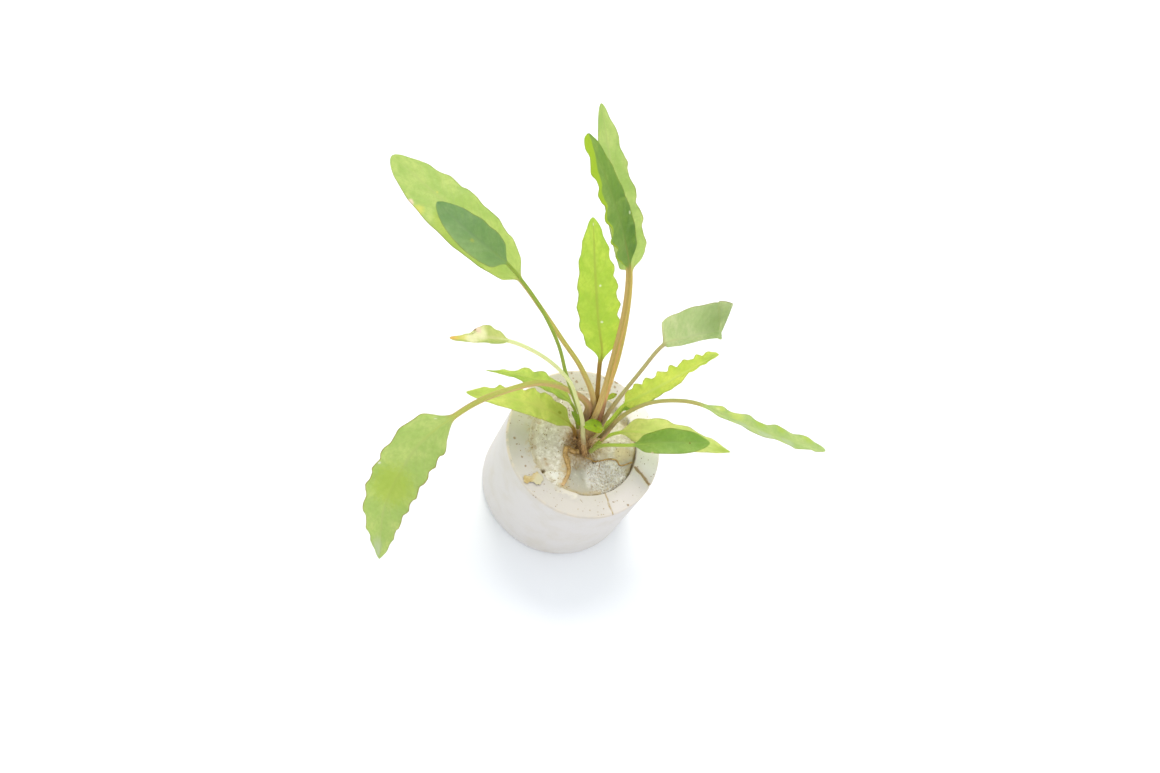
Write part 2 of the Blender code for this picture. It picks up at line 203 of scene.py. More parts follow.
def is_vector(value):
    return value.is_vector if isinstance(value, Flow) else isinstance(value, (tuple, Vector))


def plug(value, socket):
    """Link a flow to a socket, or set the socket to a plain value."""
    if isinstance(value, Flow):
        value.tree.links.new(value.socket, socket)
    elif socket.type == "RGBA" and len(value) == 3:
        socket.default_value = (*value, 1.0)
    else:
        socket.default_value = value


def add_node(tree, kind, inputs=None, **settings):
    """Add a node, set its properties, and plug the given inputs by name or number."""
    node = tree.nodes.new(kind)
    for key, value in settings.items():
        setattr(node, key, value)
    for key, value in (inputs or {}).items():
        plug(value, node.inputs[key])
    return node


def first(node):
    return Flow(node.outputs[0])


def reckon(tree, name, *values):
    vector = any(is_vector(value) for value in values)
    node = add_node(tree, "ShaderNodeVectorMath" if vector else "ShaderNodeMath",
                    dict(enumerate(values)), operation=name)
    scalar = vector and name in ("DOT_PRODUCT", "LENGTH")
    return Flow(node.outputs["Value"]) if scalar else first(node)


sine, cosine, absolute = map(operation, ("SINE", "COSINE", "ABSOLUTE"))
at_least, at_most, above = map(operation, ("MAXIMUM", "MINIMUM", "GREATER_THAN"))
exponential, tangent, sign, fraction = map(operation, ("EXPONENT", "TANGENT", "SIGN", "FRACT"))
square_root, arc_tangent = map(operation, ("SQRT", "ARCTAN2"))


def root(value):
    return square_root(at_least(value, 0.0))


def mix(a, b, share):
    """From a to b as the share goes from 0 to 1."""
    return a + (b - a) * share


def step(value, low, high):
    """A smooth step from 0 at low to 1 at high."""
    node = add_node(value.tree, "ShaderNodeMapRange", {
        "Value": value, "From Min": low, "From Max": high}, interpolation_type="SMOOTHSTEP")
    return Flow(node.outputs["Result"])


def peak(value, low, high):
    """1 below low, falling smoothly to 0 at high."""
    return 1.0 - step(value, low, high)


def join(tree, x, y, z):
    return first(add_node(tree, "ShaderNodeCombineXYZ", {0: x, 1: y, 2: z}))


def noise(place, scale, detail=2.0, roughness=0.5):
    """Smooth noise, about 0.5 on average."""
    return first(add_node(place.tree, "ShaderNodeTexNoise", {
        "Vector": place, "Scale": scale, "Detail": detail, "Roughness": roughness}))


def cells(place, scale, feature="F1"):
    """Distance to the nearest of many scattered points, and a random value for its cell."""
    node = add_node(place.tree, "ShaderNodeTexVoronoi", {"Vector": place, "Scale": scale},
                    feature=feature)
    chance = None
    if feature == "F1":
        tint = Flow(node.outputs["Color"])
        chance = first(add_node(place.tree, "ShaderNodeSeparateXYZ", {0: tint}))
    return Flow(node.outputs["Distance"]), chance


print("arithmetic on sockets is ready")

# %% [markdown]
# ## Growing shapes with Geometry Nodes
# Each tree has named inputs for its sizes, so one tree makes eighteen different leaves. A
# modifier runs the tree on a simple guide mesh, and the result becomes a plain mesh of its
# own. Its faces are turned outwards by checking the sign of its volume.

# %% Trees and what they make
WELD = 0.004
KINDS = {float: "NodeSocketFloat", int: "NodeSocketInt", tuple: "NodeSocketVector",
         str: "NodeSocketObject", type(None): "NodeSocketMaterial"}


def geometry_tree(name, sizes):
    """A tree with a geometry input, a geometry output and the named inputs."""
    tree = bpy.data.node_groups.new(name, "GeometryNodeTree")
    tree.interface.new_socket("Geometry", in_out="INPUT", socket_type="NodeSocketGeometry")
    tree.interface.new_socket("Geometry", in_out="OUTPUT", socket_type="NodeSocketGeometry")
    for label, value in sizes.items():
        socket = tree.interface.new_socket(label, in_out="INPUT", socket_type=KINDS[type(value)])
        if isinstance(value, (float, int, tuple)):
            socket.default_value = value
    source = tree.nodes.new("NodeGroupInput")
    return tree, {output.name: Flow(output) for output in source.outputs if output.name}


def made(tree, kind, inputs=None, **settings):
    """Add a geometry node and give back what comes out of its first output."""
    return first(add_node(tree, "GeometryNode" + kind, inputs, **settings))


def by_place(tree):
    """The position that the tree is working on."""
    return made(tree, "InputPosition")


def in_millimetres(tree, shape):
    """A finished shape, which is in metres, for a tree to work on."""
    return made(tree, "Transform", {0: shape, "Scale": (1.0 / MM, 1.0 / MM, 1.0 / MM)})


def end_tree(tree, shape, material):
    """Weld the seams, realize, scale to metres, shade smooth, set the material and end the tree."""
    for kind, inputs in (("RealizeInstances", {}), ("MergeByDistance", {"Distance": WELD}),
                         ("Transform", {"Scale": (MM, MM, MM)}), ("SetShadeSmooth", {}),
                         ("SetMaterial", {"Material": material})):
        shape = made(tree, kind, {0: shape, **inputs})
    add_node(tree, "NodeGroupOutput", {0: shape})
    return tree


def guide_mesh(points, closed_faces=()):
    """A bare mesh in millimetres for a tree to work on: a line of points, or faces."""
    mesh = bpy.data.meshes.new("guide")
    lines = [] if closed_faces else [(i, i + 1) for i in range(len(points) - 1)]
    mesh.from_pydata([tuple(map(float, point)) for point in points], lines, closed_faces)
    return mesh


def volume_of(mesh):
    """Volume inside a closed mesh, in cubic millimetres; negative if it is inside out."""
    mesh.calc_loop_triangles()
    corners = np.empty(len(mesh.vertices) * 3)
    mesh.vertices.foreach_get("co", corners)
    faces = np.empty(len(mesh.loop_triangles) * 3, np.int32)
    mesh.loop_triangles.foreach_get("vertices", faces)
    a, b, c = (corners.reshape(-1, 3)[faces.reshape(-1, 3)[:, k]] / MM for k in range(3))
    return float(np.einsum("ij,ij->i", a, np.cross(b, c)).sum() / 6.0)


def keep(name, mesh):
    """Turn a closed mesh's faces outwards and show it as an object."""
    volume = volume_of(mesh)
    if volume < 0.0:
        mesh.flip_normals()
    piece = bpy.data.objects.new(name, mesh)
    bpy.context.scene.collection.objects.link(piece)
    print(f"{name}: {len(mesh.loop_triangles)} triangles, {abs(volume):.0f} cubic mm")
    return piece


def grow(name, tree, guide, values):
    """Run a tree on a guide mesh and keep the result as a plain mesh object."""
    host = bpy.data.objects.new(name + "_guide", guide)
    bpy.context.scene.collection.objects.link(host)
    modifier = host.modifiers.new("Shape", "NODES")
    modifier.node_group = tree
    for item in tree.interface.items_tree:
        if item.item_type == "SOCKET" and item.in_out == "INPUT" and item.name in values:
            modifier[item.identifier] = values[item.name]
    graph = bpy.context.evaluated_depsgraph_get()
    mesh = bpy.data.meshes.new_from_object(host.evaluated_get(graph))
    bpy.data.objects.remove(host)
    mesh.name = name
    return keep(name, mesh)


def dress(piece, node):
    """The piece rides on the one body and stands for its solid, if it has one."""
    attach(piece, "root")
    if node:
        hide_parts(node)


print("tree helpers are ready")

# %% [markdown]
# Stalks, midribs and roots all follow a few listed places. A smooth curve joins them:
# its slope at each place comes from the neighbours, as in the solids, so the two models
# bend alike.

# %% Smooth routes
def smooth_route(points, per_span=16):
    """A smooth curve through the points, with the length along it at each of them."""
    points = np.array(points, float)
    knots = np.r_[0.0, np.cumsum(np.sqrt(np.linalg.norm(np.diff(points, axis=0), axis=1)))]
    slopes = np.gradient(points, knots, axis=0)
    samples = [points[0]]
    for i in range(len(points) - 1):
        span = knots[i + 1] - knots[i]
        for u in np.linspace(0.0, 1.0, per_span + 1)[1:]:
            samples.append((2 * u ** 3 - 3 * u ** 2 + 1) * points[i]
                           + (u ** 3 - 2 * u ** 2 + u) * span * slopes[i]
                           + (3 * u ** 2 - 2 * u ** 3) * points[i + 1]
                           + (u ** 3 - u ** 2) * span * slopes[i + 1])
    samples = np.array(samples)
    lengths = np.r_[0.0, np.cumsum(np.linalg.norm(np.diff(samples, axis=0), axis=1))]
    return samples, lengths, lengths[::per_span]


print("a route through two places has", len(smooth_route(((0, 0, 0), (1, 0, 0)))[0]), "points")

# %% [markdown]
# ## Shaders
# A finish starts as one base colour and is then painted over, layer by layer: each layer is
# a colour and a mask. Masks come from the same arithmetic. Relief too fine for the mesh is
# left to a bump.

# %% Painting helpers
class Finish:
    """A material under construction: a Principled shader and what feeds it."""

    def __init__(self, name, base, roughness, specular):
        self.painted = base
        self.material = bpy.data.materials.new(name)
        self.material.use_nodes = True
        self.tree = self.material.node_tree
        self.shader = self.tree.nodes["Principled BSDF"]
        self.output = self.tree.nodes["Material Output"]
        self.shader.inputs["Roughness"].default_value = roughness
        self.shader.inputs["Specular IOR Level"].default_value = specular
        place = add_node(self.tree, "ShaderNodeTexCoord").outputs["Object"]
        self.place = Flow(place).scaled(1.0 / MM)

    def attribute(self, name):
        node = add_node(self.tree, "ShaderNodeAttribute", attribute_name=name)
        return Flow(node.outputs["Vector"])

    def paint(self, colour, over, mask):
        """Lay a colour over another where the mask is 1."""
        node = add_node(self.tree, "ShaderNodeMix", {0: mask, 6: over, 7: colour}, data_type="RGBA")
        return Flow(node.outputs[2])

    def layer(self, colour, mask):
        """Lay a colour over all that is painted so far."""
        self.painted = self.paint(colour, self.painted, mask)

    def bump(self, height, depth, strength=1.0):
        """Fine relief: a height from 0 to 1 that stands for the depth in millimetres."""
        node = add_node(self.tree, "ShaderNodeBump", {
            "Height": height, "Distance": depth * MM, "Strength": strength})
        plug(first(node), self.shader.inputs["Normal"])

    def rough(self, flow):
        plug(flow, self.shader.inputs["Roughness"])

    def done(self):
        """Give the shader all that is painted."""
        plug(self.painted, self.shader.inputs["Base Color"])
        return self.material


print("painting helpers are ready")

# %% [markdown]
# ## The pot
# The pot is cast, not thrown: thick straight walls, a flat rim with a crisp edge, and a skin
# like fine cement with pores, a stained groove and a hairline crack. Its half section is
# turned round the axis, and a tree then works the surface along its normals, so that pits
# and cracks are real hollows and not only shading.

# %% Pot shape
POT_RADIUS = 25.0
POT_HEIGHT = 38.0
HOLLOW_RADIUS = 17.5
HOLLOW_FLOOR = 7.0
FOOT_ROUNDING = 1.8
RIM_ROUNDING = 0.7
LIP_ROUNDING = 0.5
POT_STEP = 0.5
POT_TURNS = 330


def arc(centre, radius, start, steps):
    angles = np.radians(np.linspace(start, start + 90.0, steps))
    return [(centre[0] + radius * math.cos(a), centre[1] + radius * math.sin(a)) for a in angles]


def fill_in(outline, longest):
    """Split the long straight runs of an outline into short ones."""
    points = [outline[0]]
    for begin, end in zip(outline, outline[1:]):
        count = max(1, math.ceil(math.dist(begin, end) / longest))
        points += [tuple(np.array(begin) + (np.array(end) - begin) * k / count)
                   for k in range(1, count + 1)]
    return points


def pot_outline():
    foot = arc((POT_RADIUS - FOOT_ROUNDING, FOOT_ROUNDING), FOOT_ROUNDING, -90.0, 7)
    rim = arc((POT_RADIUS - RIM_ROUNDING, POT_HEIGHT - RIM_ROUNDING), RIM_ROUNDING, 0.0, 5)
    lip = arc((HOLLOW_RADIUS + LIP_ROUNDING, POT_HEIGHT - LIP_ROUNDING), LIP_ROUNDING, 90.0, 5)
    outline = [(0.0, 0.0)] + foot + rim + lip
    outline += [(HOLLOW_RADIUS, HOLLOW_FLOOR), (0.0, HOLLOW_FLOOR)]
    return fill_in(outline, POT_STEP)


def turned_mesh(outline, turns):
    """Turn an outline of (radius, height) points about the Z axis; both ends lie on it."""
    angles = np.linspace(0.0, TURN, turns, endpoint=False)
    points = [(0.0, 0.0, outline[0][1]), (0.0, 0.0, outline[-1][1])]
    inner = outline[1:-1]
    points += [(r * math.cos(a), r * math.sin(a), z) for r, z in inner for a in angles]
    last = 2 + (len(inner) - 1) * turns
    faces = []
    for i in range(turns):
        j = (i + 1) % turns
        faces += [(0, 2 + j, 2 + i), (1, last + i, last + j)]
        for row in range(len(inner) - 1):
            low, high = 2 + row * turns, 2 + (row + 1) * turns
            faces.append((low + i, low + j, high + j, high + i))
    return guide_mesh(points, faces)


# %% Measuring in plan
def plan_distance(place, centre=(0.0, 0.0)):
    x, y, _ = place.parts()
    return join(place.tree, x - centre[0], y - centre[1], 0.0).length()


def near(place, centre, low, high):
    """1 round a point, falling to 0 between the two distances from it in plan."""
    return peak(plan_distance(place, centre), low, high)


def distance_to_line(place, begin, end):
    """Distance in plan from a place to the stretch between two points."""
    x, y, _ = place.parts()
    away = join(place.tree, x - begin[0], y - begin[1], 0.0)
    run = (end[0] - begin[0], end[1] - begin[1], 0.0)
    share = away.dot(run) * (1.0 / (run[0] ** 2 + run[1] ** 2))
    share = at_most(at_least(share, 0.0), 1.0)
    return (away - join(place.tree, share * run[0], share * run[1], 0.0)).length()


def near_line(place, line, low, high):
    return peak(distance_to_line(place, *line), low, high)


def beyond(place, begin, end):
    """How far a place lies in plan to the right of the line through two points."""
    x, y, _ = place.parts()
    length = math.dist(begin, end)
    rise, run = (end[1] - begin[1]) / length, (end[0] - begin[0]) / length
    return (x - begin[0]) * rise - (y - begin[1]) * run


def wandering(place, reach, scale=0.35):
    """The place moved a little to and fro, so that lines through it waver."""
    sway = noise(place, scale) - 0.5
    drift = noise(place + (9.0, 4.0, 1.0), scale) - 0.5
    return place + join(place.tree, sway * (2.0 * reach), drift * (2.0 * reach), 0.0)


# %% Pot surface
GROOVE = ((17.9, 2.8), (24.9, 0.3))
HAIRLINE = ((14.3, -11.0), (20.4, -15.6))
LIP_SPILL = ((2.6, -17.9), (6.4, -17.2))
BIG_SPECKS = ((-15.4, 18.2, 0.5), (-14.1, 17.1, 0.4), (-12.5, 16.7, 0.6), (-9.9, 15.6, 0.5),
              (-5.8, 23.3, 0.4), (-2.9, 23.5, 0.5), (-1.4, 22.7, 0.6), (-1.8, 24.6, 0.9),
              (-2.1, 20.8, 0.4), (22.0, -9.7, 0.5), (-19.0, -11.9, 0.5), (-17.3, -13.2, 0.4),
              (-13.8, -15.9, 0.5), (-11.3, -17.8, 0.4))


def pot_tree():
    sizes = {"Unevenness": 0.22, "Grain": 0.05, "Pore depth": 0.28, "Groove depth": 0.5,
             "Groove width": 0.62, "Spill": 0.45, "Material": None}
    tree, size = geometry_tree("Cast surface", sizes)
    place = by_place(tree)
    normal = made(tree, "InputNormal")
    lift = (noise(place, 0.07, 2.0) - 0.5) * size["Unevenness"]
    lift += (noise(place, 0.9, 3.0, 0.6) - 0.5) * size["Grain"]
    distance, chance = cells(place, 0.33)
    lift -= peak(distance, 0.04, 0.17) * above(chance, 0.82) * size["Pore depth"] * 0.7
    distance, chance = cells(place, 0.9)
    lift -= peak(distance, 0.1, 0.34) * above(chance, 0.86) * size["Pore depth"] * 0.6
    _, _, height = place.parts()
    on_rim = step(height, POT_HEIGHT - 2.0, POT_HEIGHT - 0.6)
    wander = wandering(place, 0.5)
    width = size["Groove width"] * (0.55 + noise(place, 1.1, 3.0, 0.6) * 0.9)
    groove = near_line(wander, GROOVE, width * 0.3, width)
    hairline = near_line(wander, HAIRLINE, 0.05, 0.36)
    lift -= (groove + hairline * 0.4) * on_rim * size["Groove depth"]
    spill = near_line(wander, LIP_SPILL, 0.7, 1.9)
    lift += spill * step(height, POT_HEIGHT - 0.7, POT_HEIGHT - 0.1) * size["Spill"]
    shape = made(tree, "SetPosition", {"Geometry": size["Geometry"], "Offset": normal.scaled(lift)})
    return end_tree(tree, shape, size["Material"])


# %% Pot finish
CEMENT = (0.69, 0.655, 0.622)
CEMENT_STAIN = (0.64, 0.59, 0.515)
RIM_TOP = (0.61, 0.563, 0.5)
RIM_CLEAN_AND_LIT = (0.69, 0.632, 0.585)
RIM_PAINTED_LIGHT = (0.88, 0.82, 0.77)
RIM_DAMP = (0.53, 0.505, 0.365)
RIM_CREAM = (0.78, 0.66, 0.48)
SPECK = (0.3, 0.19, 0.08)
FIBRE_TAN = (0.52, 0.4, 0.21)
WALL_DIRT_AND_SHADE = (0.33, 0.24, 0.12)
GROOVE_STAIN = (0.33, 0.205, 0.06)
HAIRLINE_STAIN = (0.42, 0.3, 0.13)
SPILL_PALE = (0.72, 0.66, 0.55)


def cement_finish():
    finish = Finish("fired cement", CEMENT, roughness=0.82, specular=0.3)
    place = finish.place
    x, y, z = place.parts()
    radius = plan_distance(place)
    cloudy = noise(place, 0.11, 4.0, 0.6)
    finish.layer(CEMENT_STAIN, step(cloudy, 0.42, 0.75) * 0.7)
    on_rim = step(z, POT_HEIGHT - 1.0, POT_HEIGHT - 0.3)
    finish.layer(RIM_TOP, on_rim)
    left = step(x * -0.95 + y * 0.3, 2.0, 17.0)
    back = step(y, 8.0, 20.0)
    near_hole = peak(radius, HOLLOW_RADIUS + 0.4, HOLLOW_RADIUS + 3.5)
    right = step(x + y * 0.4, 8.0, 17.0)
    # Painted light: the rim's right side is cleaner and lighter, and it is painted lighter still
    # against the shade of the low leaves over it; at the back right the lighter colour is painted
    # light only.
    finish.layer(RIM_CLEAN_AND_LIT, right * on_rim)
    finish.layer(RIM_PAINTED_LIGHT, right * step(y, 0.0, 6.0) * on_rim)
    patchy = step(noise(place, 0.22, 4.0, 0.65), 0.3, 0.64)
    damp = (left * 0.8 + back * (1.0 - right) * 0.22 + near_hole * 0.25) * (0.35 + patchy * 0.65)
    finish.layer(RIM_DAMP, at_most(damp, 1.0) * on_rim)
    edge = step(radius, POT_RADIUS - 0.9, POT_RADIUS - 0.4)
    edge *= step(z, POT_HEIGHT - 1.4, POT_HEIGHT - 0.5)
    cream = (0.25 + step(noise(place, 0.5, 3.0), 0.4, 0.6) * 0.5) * (0.45 + left * 0.55)
    finish.layer(RIM_CREAM, edge * cream)
    crowded = step(noise(place, 0.16, 2.0), 0.48, 0.62) * (0.12 + left * 0.4) + back * 0.7
    shake = join(finish.tree, noise(place, 3.0), noise(place, 2.6), 0.0)
    for scale, share, reach in ((0.36, 0.5, 0.17), (0.8, 0.62, 0.24), (1.7, 0.72, 0.3)):
        shaken = place + (scale, 3.0, 0.0) + shake
        distance, chance = cells(shaken, scale)
        specks = peak(distance, reach * 0.3, reach) * above(chance, share)
        finish.layer(SPECK, specks * (0.04 + on_rim * 0.75 * crowded))
    shaken = wandering(place, 0.3, 1.2)
    for speck_x, speck_y, reach in BIG_SPECKS:
        spot = near(shaken, (speck_x, speck_y), reach * 0.4, reach * 1.1)
        finish.layer(SPECK, spot * on_rim * 0.8)
    wander = wandering(place, 0.5)
    width = 0.35 + noise(place, 1.1, 3.0, 0.6) * 0.8
    groove = near_line(wander, GROOVE, width * 0.3, width)
    hairline = near_line(wander, HAIRLINE, 0.1, 0.42)
    halo = near_line(wander, GROOVE, 0.4, 2.0)
    finish.layer(RIM_CREAM, halo * on_rim * 0.35)
    finish.layer(GROOVE_STAIN, groove * on_rim * 0.9)
    broken = step(noise(place, 1.3, 3.0, 0.6), 0.36, 0.58) * 0.6 + 0.4
    finish.layer(HAIRLINE_STAIN, hairline * on_rim * broken * 0.85)
    lip_stain = step(noise(place + (7.0, 0.0, 0.0), 0.55, 4.0, 0.6), 0.5, 0.62)
    lip_stain *= peak(radius, HOLLOW_RADIUS + 0.2, HOLLOW_RADIUS + 2.6)
    lip_stain *= step(x * -0.8 - y * 0.5, 4.0, 14.0)
    finish.layer(FIBRE_TAN, lip_stain * on_rim * 0.75)
    # Painted shade with brown dirt on the inner wall just under the lip at the right, where the band
    # between lip and medium lies in shade.
    dirt_and_shade = peak(radius, HOLLOW_RADIUS + 0.15, HOLLOW_RADIUS + 0.5)
    dirt_and_shade *= peak(z, POT_HEIGHT - 0.9, POT_HEIGHT - 0.2)
    dirt_and_shade *= step(x * 0.9 - y * 0.4, 9.0, 14.0) * step(noise(place, 0.7, 4.0, 0.65), 0.36, 0.58)
    finish.layer(WALL_DIRT_AND_SHADE, dirt_and_shade * 0.8)
    spill = near_line(wandering(place, 1.6, 0.6), LIP_SPILL, 0.5, 2.0)
    spill *= step(noise(place, 1.0, 4.0, 0.65), 0.28, 0.52)
    finish.layer(SPILL_PALE, spill * on_rim * 0.7)
    finish.rough(0.86 - damp * on_rim * 0.28)
    finish.bump(noise(place, 2.2, 5.0, 0.65), 0.06, 0.8)
    return finish.done()


pot = grow("cast_pot", pot_tree(), turned_mesh(pot_outline(), POT_TURNS),
           {"Material": cement_finish()})
dress(pot, "pot")

# %% [markdown]
# ## The plug of growing medium
# The hollow is filled with wet medium, and its top is far from level. On the left a smooth
# mound stands as high as the rim. At the front it has broken off along a crease: a bright
# wedge rises to the lip, with a grey slope beside it. On the right the medium is torn open,
# low and wet, with loose fibres and glints, and a dark gap runs along the wall. Two sloping
# planes that meet in a ridge give the wedge, and signed distances to a few lines in plan
# say which form holds where. The shader asks the same lines where to paint.

# %% Forms of the plug
PLUG_LEVEL = 35.2
PLUG_RADIUS = 17.2
PLUG_FOOT = 7.3
PLUG_GUIDE_HEIGHT = 2.0
PLUG_TURNS = 240
PLUG_ROWS = 104
BACK_BUMPS = ((12.5, -4.0, 7.5, -1.8), (-10.0, -5.0, 9.0, 2.7))
CROWN_FOOT = (0.6, -1.0)
CROWN_SEAT = 35.9
MOUND_HEIGHT = 37.7
CREASE_START = (-5.8, -15.5)
CREASE_BEND = (1.2, -10.6)
CREASE_END = (1.0, -3.0)
TEAR_START = (5.0, -1.8)
TEAR_END = (11.5, 2.7)
TORN_CENTRE = (12.2, -4.6)
TORN_FLOOR = 34.6
POCKET = (1.9, -6.8)
HOLLOW_SPOT = (5.9, -1.9)
STAIN_CENTRE = (-0.4, -0.2)


def mound_edge(place):
    """Distance outside the mound, negative on it."""
    front = beyond(place, CREASE_START, CREASE_BEND)
    return at_least(front, beyond(place, CREASE_BEND, CREASE_END))


def wedge_sides(place):
    """Heights of the wedge's two slopes: the bright one and the grey one."""
    x, y, _ = place.parts()
    return x * 0.007 - y * 0.255 + 33.5, x * -0.194 - y * 0.286 + 33.4


def in_front(place):
    """1 in front of the torn edge that runs from the crown to the right."""
    return step(beyond(place, TEAR_START, TEAR_END), -0.3, 0.8)


def wall_gap(place):
    """1 in the gap along the right and front stretch of the wall, which is crumbled in places."""
    x, y, _ = place.parts()
    radius = plan_distance(place)
    facing = (x * 0.966 - y * 0.259) / at_least(radius, 1.0)
    broken = step(noise(join(place.tree, x, y, 0.0), 0.55, 4.0, 0.7), 0.46, 0.58)
    gap = step(facing, 0.45, 0.8) * step(radius, PLUG_RADIUS - 0.7, PLUG_RADIUS - 0.1)
    return gap * (0.15 + broken * 0.85)


def over_lip(place):
    """1 where the medium has spread over the pot's lip: everywhere but at the torn right side."""
    x, _, _ = place.parts()
    return peak(x / at_least(plan_distance(place), 1.0), 0.4, 0.54)


def plug_height(place):
    """Height of the medium at a place in plan, without its fine relief."""
    back = PLUG_LEVEL
    for x, y, reach, rise in BACK_BUMPS:
        distance = plan_distance(place, (x, y)) / reach
        back += exponential(distance * distance * -1.5) * rise
    bright, grey = wedge_sides(place)
    front = at_least(at_most(bright, grey), TORN_FLOOR)
    ground = mix(back, front, in_front(place))
    edge = mound_edge(place)
    mound = MOUND_HEIGHT - exponential(edge * 0.5) * 0.9
    radius = plan_distance(place)
    mound -= step(radius, 14.5, 17.2) * 0.5
    x, _, _ = place.parts()
    height = mix(ground, mound, peak(edge, -0.1, 0.25) * peak(x, -2.5, 2.5))
    seat = near(place, CROWN_FOOT, 2.6, 6.5)
    return mix(height, CROWN_SEAT, seat)


def plug_tree():
    sizes = {"Fine relief": 0.22, "Torn relief": 0.8, "Pit depth": 0.4, "Gap depth": 0.45,
             "Bank": 1.6, "Spread": 0.9, "Wall touch": 0.26, "Material": None}
    tree, size = geometry_tree("Growing medium", sizes)
    place = by_place(tree)
    x, y, z = place.parts()
    flat = join(tree, x, y, 0.0)
    radius = plan_distance(place)
    top = step(z, PLUG_FOOT + 0.5, PLUG_FOOT + 1.0)
    waver = wandering(flat, 0.35, 0.45)
    torn = near(waver, TORN_CENTRE, 4.2, 8.0) * in_front(waver)
    height = plug_height(waver)
    height += (noise(flat, 0.7, 4.0, 0.62) - 0.5) * size["Fine relief"] * 2.2
    rags = noise(join(tree, x * 0.7 + y * 0.5, y * 1.5 - x * 0.5, 0.0), 0.62, 5.0, 0.72) - 0.44
    height += rags * torn * size["Torn relief"] * 2.4
    streaks = noise(join(tree, x * 3.2, y * 0.5, 0.0), 0.8, 3.0, 0.6) - 0.5
    near_crown = near(waver, CROWN_FOOT, 3.0, 8.5)
    height += streaks * near_crown * 0.9
    distance, chance = cells(flat, 0.5)
    height -= peak(distance, 0.04, 0.24) * above(chance, 0.78) * size["Pit depth"]
    height += step(radius, 13.6, 16.4) * step(x, 6.0, 12.0) * size["Bank"]
    height -= wall_gap(place) * size["Gap depth"]
    height -= near(place, HOLLOW_SPOT, 0.3, 1.0) * 1.2
    spread = over_lip(place)
    outer = step(radius, PLUG_RADIUS - 1.5, PLUG_RADIUS - 0.3)
    last = step(radius, PLUG_RADIUS - 0.5, PLUG_RADIUS)
    height -= last * (1.0 - spread) * 0.4
    over = POT_HEIGHT + 0.1 + (noise(flat, 0.8, 3.0) - 0.5) * 0.16
    height = mix(height, over, outer * spread)
    height -= last * spread * 0.32
    height -= near(place, CREASE_START, 0.25, 0.85) * 2.2
    push = step(radius, PLUG_RADIUS - 1.4, PLUG_RADIUS) * spread * top
    push *= (0.35 + noise(flat, 0.28, 3.0)) * size["Spread"]
    push += step(radius, PLUG_RADIUS - 1.0, PLUG_RADIUS) * (1.0 - spread) * top * size["Wall touch"]
    grown_x, grown_y = x * (1.0 + push / PLUG_RADIUS), y * (1.0 + push / PLUG_RADIUS)
    target = join(tree, grown_x, grown_y, mix(z, height, top))
    shape = made(tree, "SetPosition", {"Geometry": size["Geometry"], "Position": target})
    return end_tree(tree, shape, size["Material"])


def plug_guide():
    radii = np.linspace(PLUG_RADIUS, 0.0, PLUG_ROWS)[:-1]
    top = PLUG_FOOT + PLUG_GUIDE_HEIGHT
    outline = [(0.0, PLUG_FOOT), (PLUG_RADIUS, PLUG_FOOT)] + [(r, top) for r in radii] + [(0.0, top)]
    return turned_mesh(outline, PLUG_TURNS)


# %% Plug finish
MOUND_GREY = (0.63, 0.575, 0.43)
MOUND_PALE = (0.93, 0.885, 0.765)
WEDGE_BRIGHT = (0.79, 0.765, 0.67)
SLOPE_GREY = (0.52, 0.49, 0.39)
BROWN_AND_SHADE = (0.38, 0.295, 0.18)
TORN_WET_AND_SHEEN = (0.98, 0.94, 0.865)
GLINT = (0.98, 0.975, 0.94)
STAIN_OCHRE = (0.56, 0.4, 0.15)
CROWN_STAIN = (0.36, 0.21, 0.06)
CROWN_SHADE = (0.15, 0.08, 0.025)
GAP_SHADE = (0.33, 0.24, 0.115)
WALL_SHADE = (0.5, 0.44, 0.33)
LIP_STAINS = ((-7.0, -12.6, 1.6), (-12.2, -10.6, 1.3), (-14.4, -7.8, 1.2), (-15.2, -2.5, 1.0))
SEAM_OLIVE = (0.37, 0.29, 0.14)
ROOT_STAIN = ((-3.0, -5.0), (1.6, -15.8))
TAN_PATCH = (12.3, 5.2)
TAN_PALE = (0.66, 0.55, 0.29)


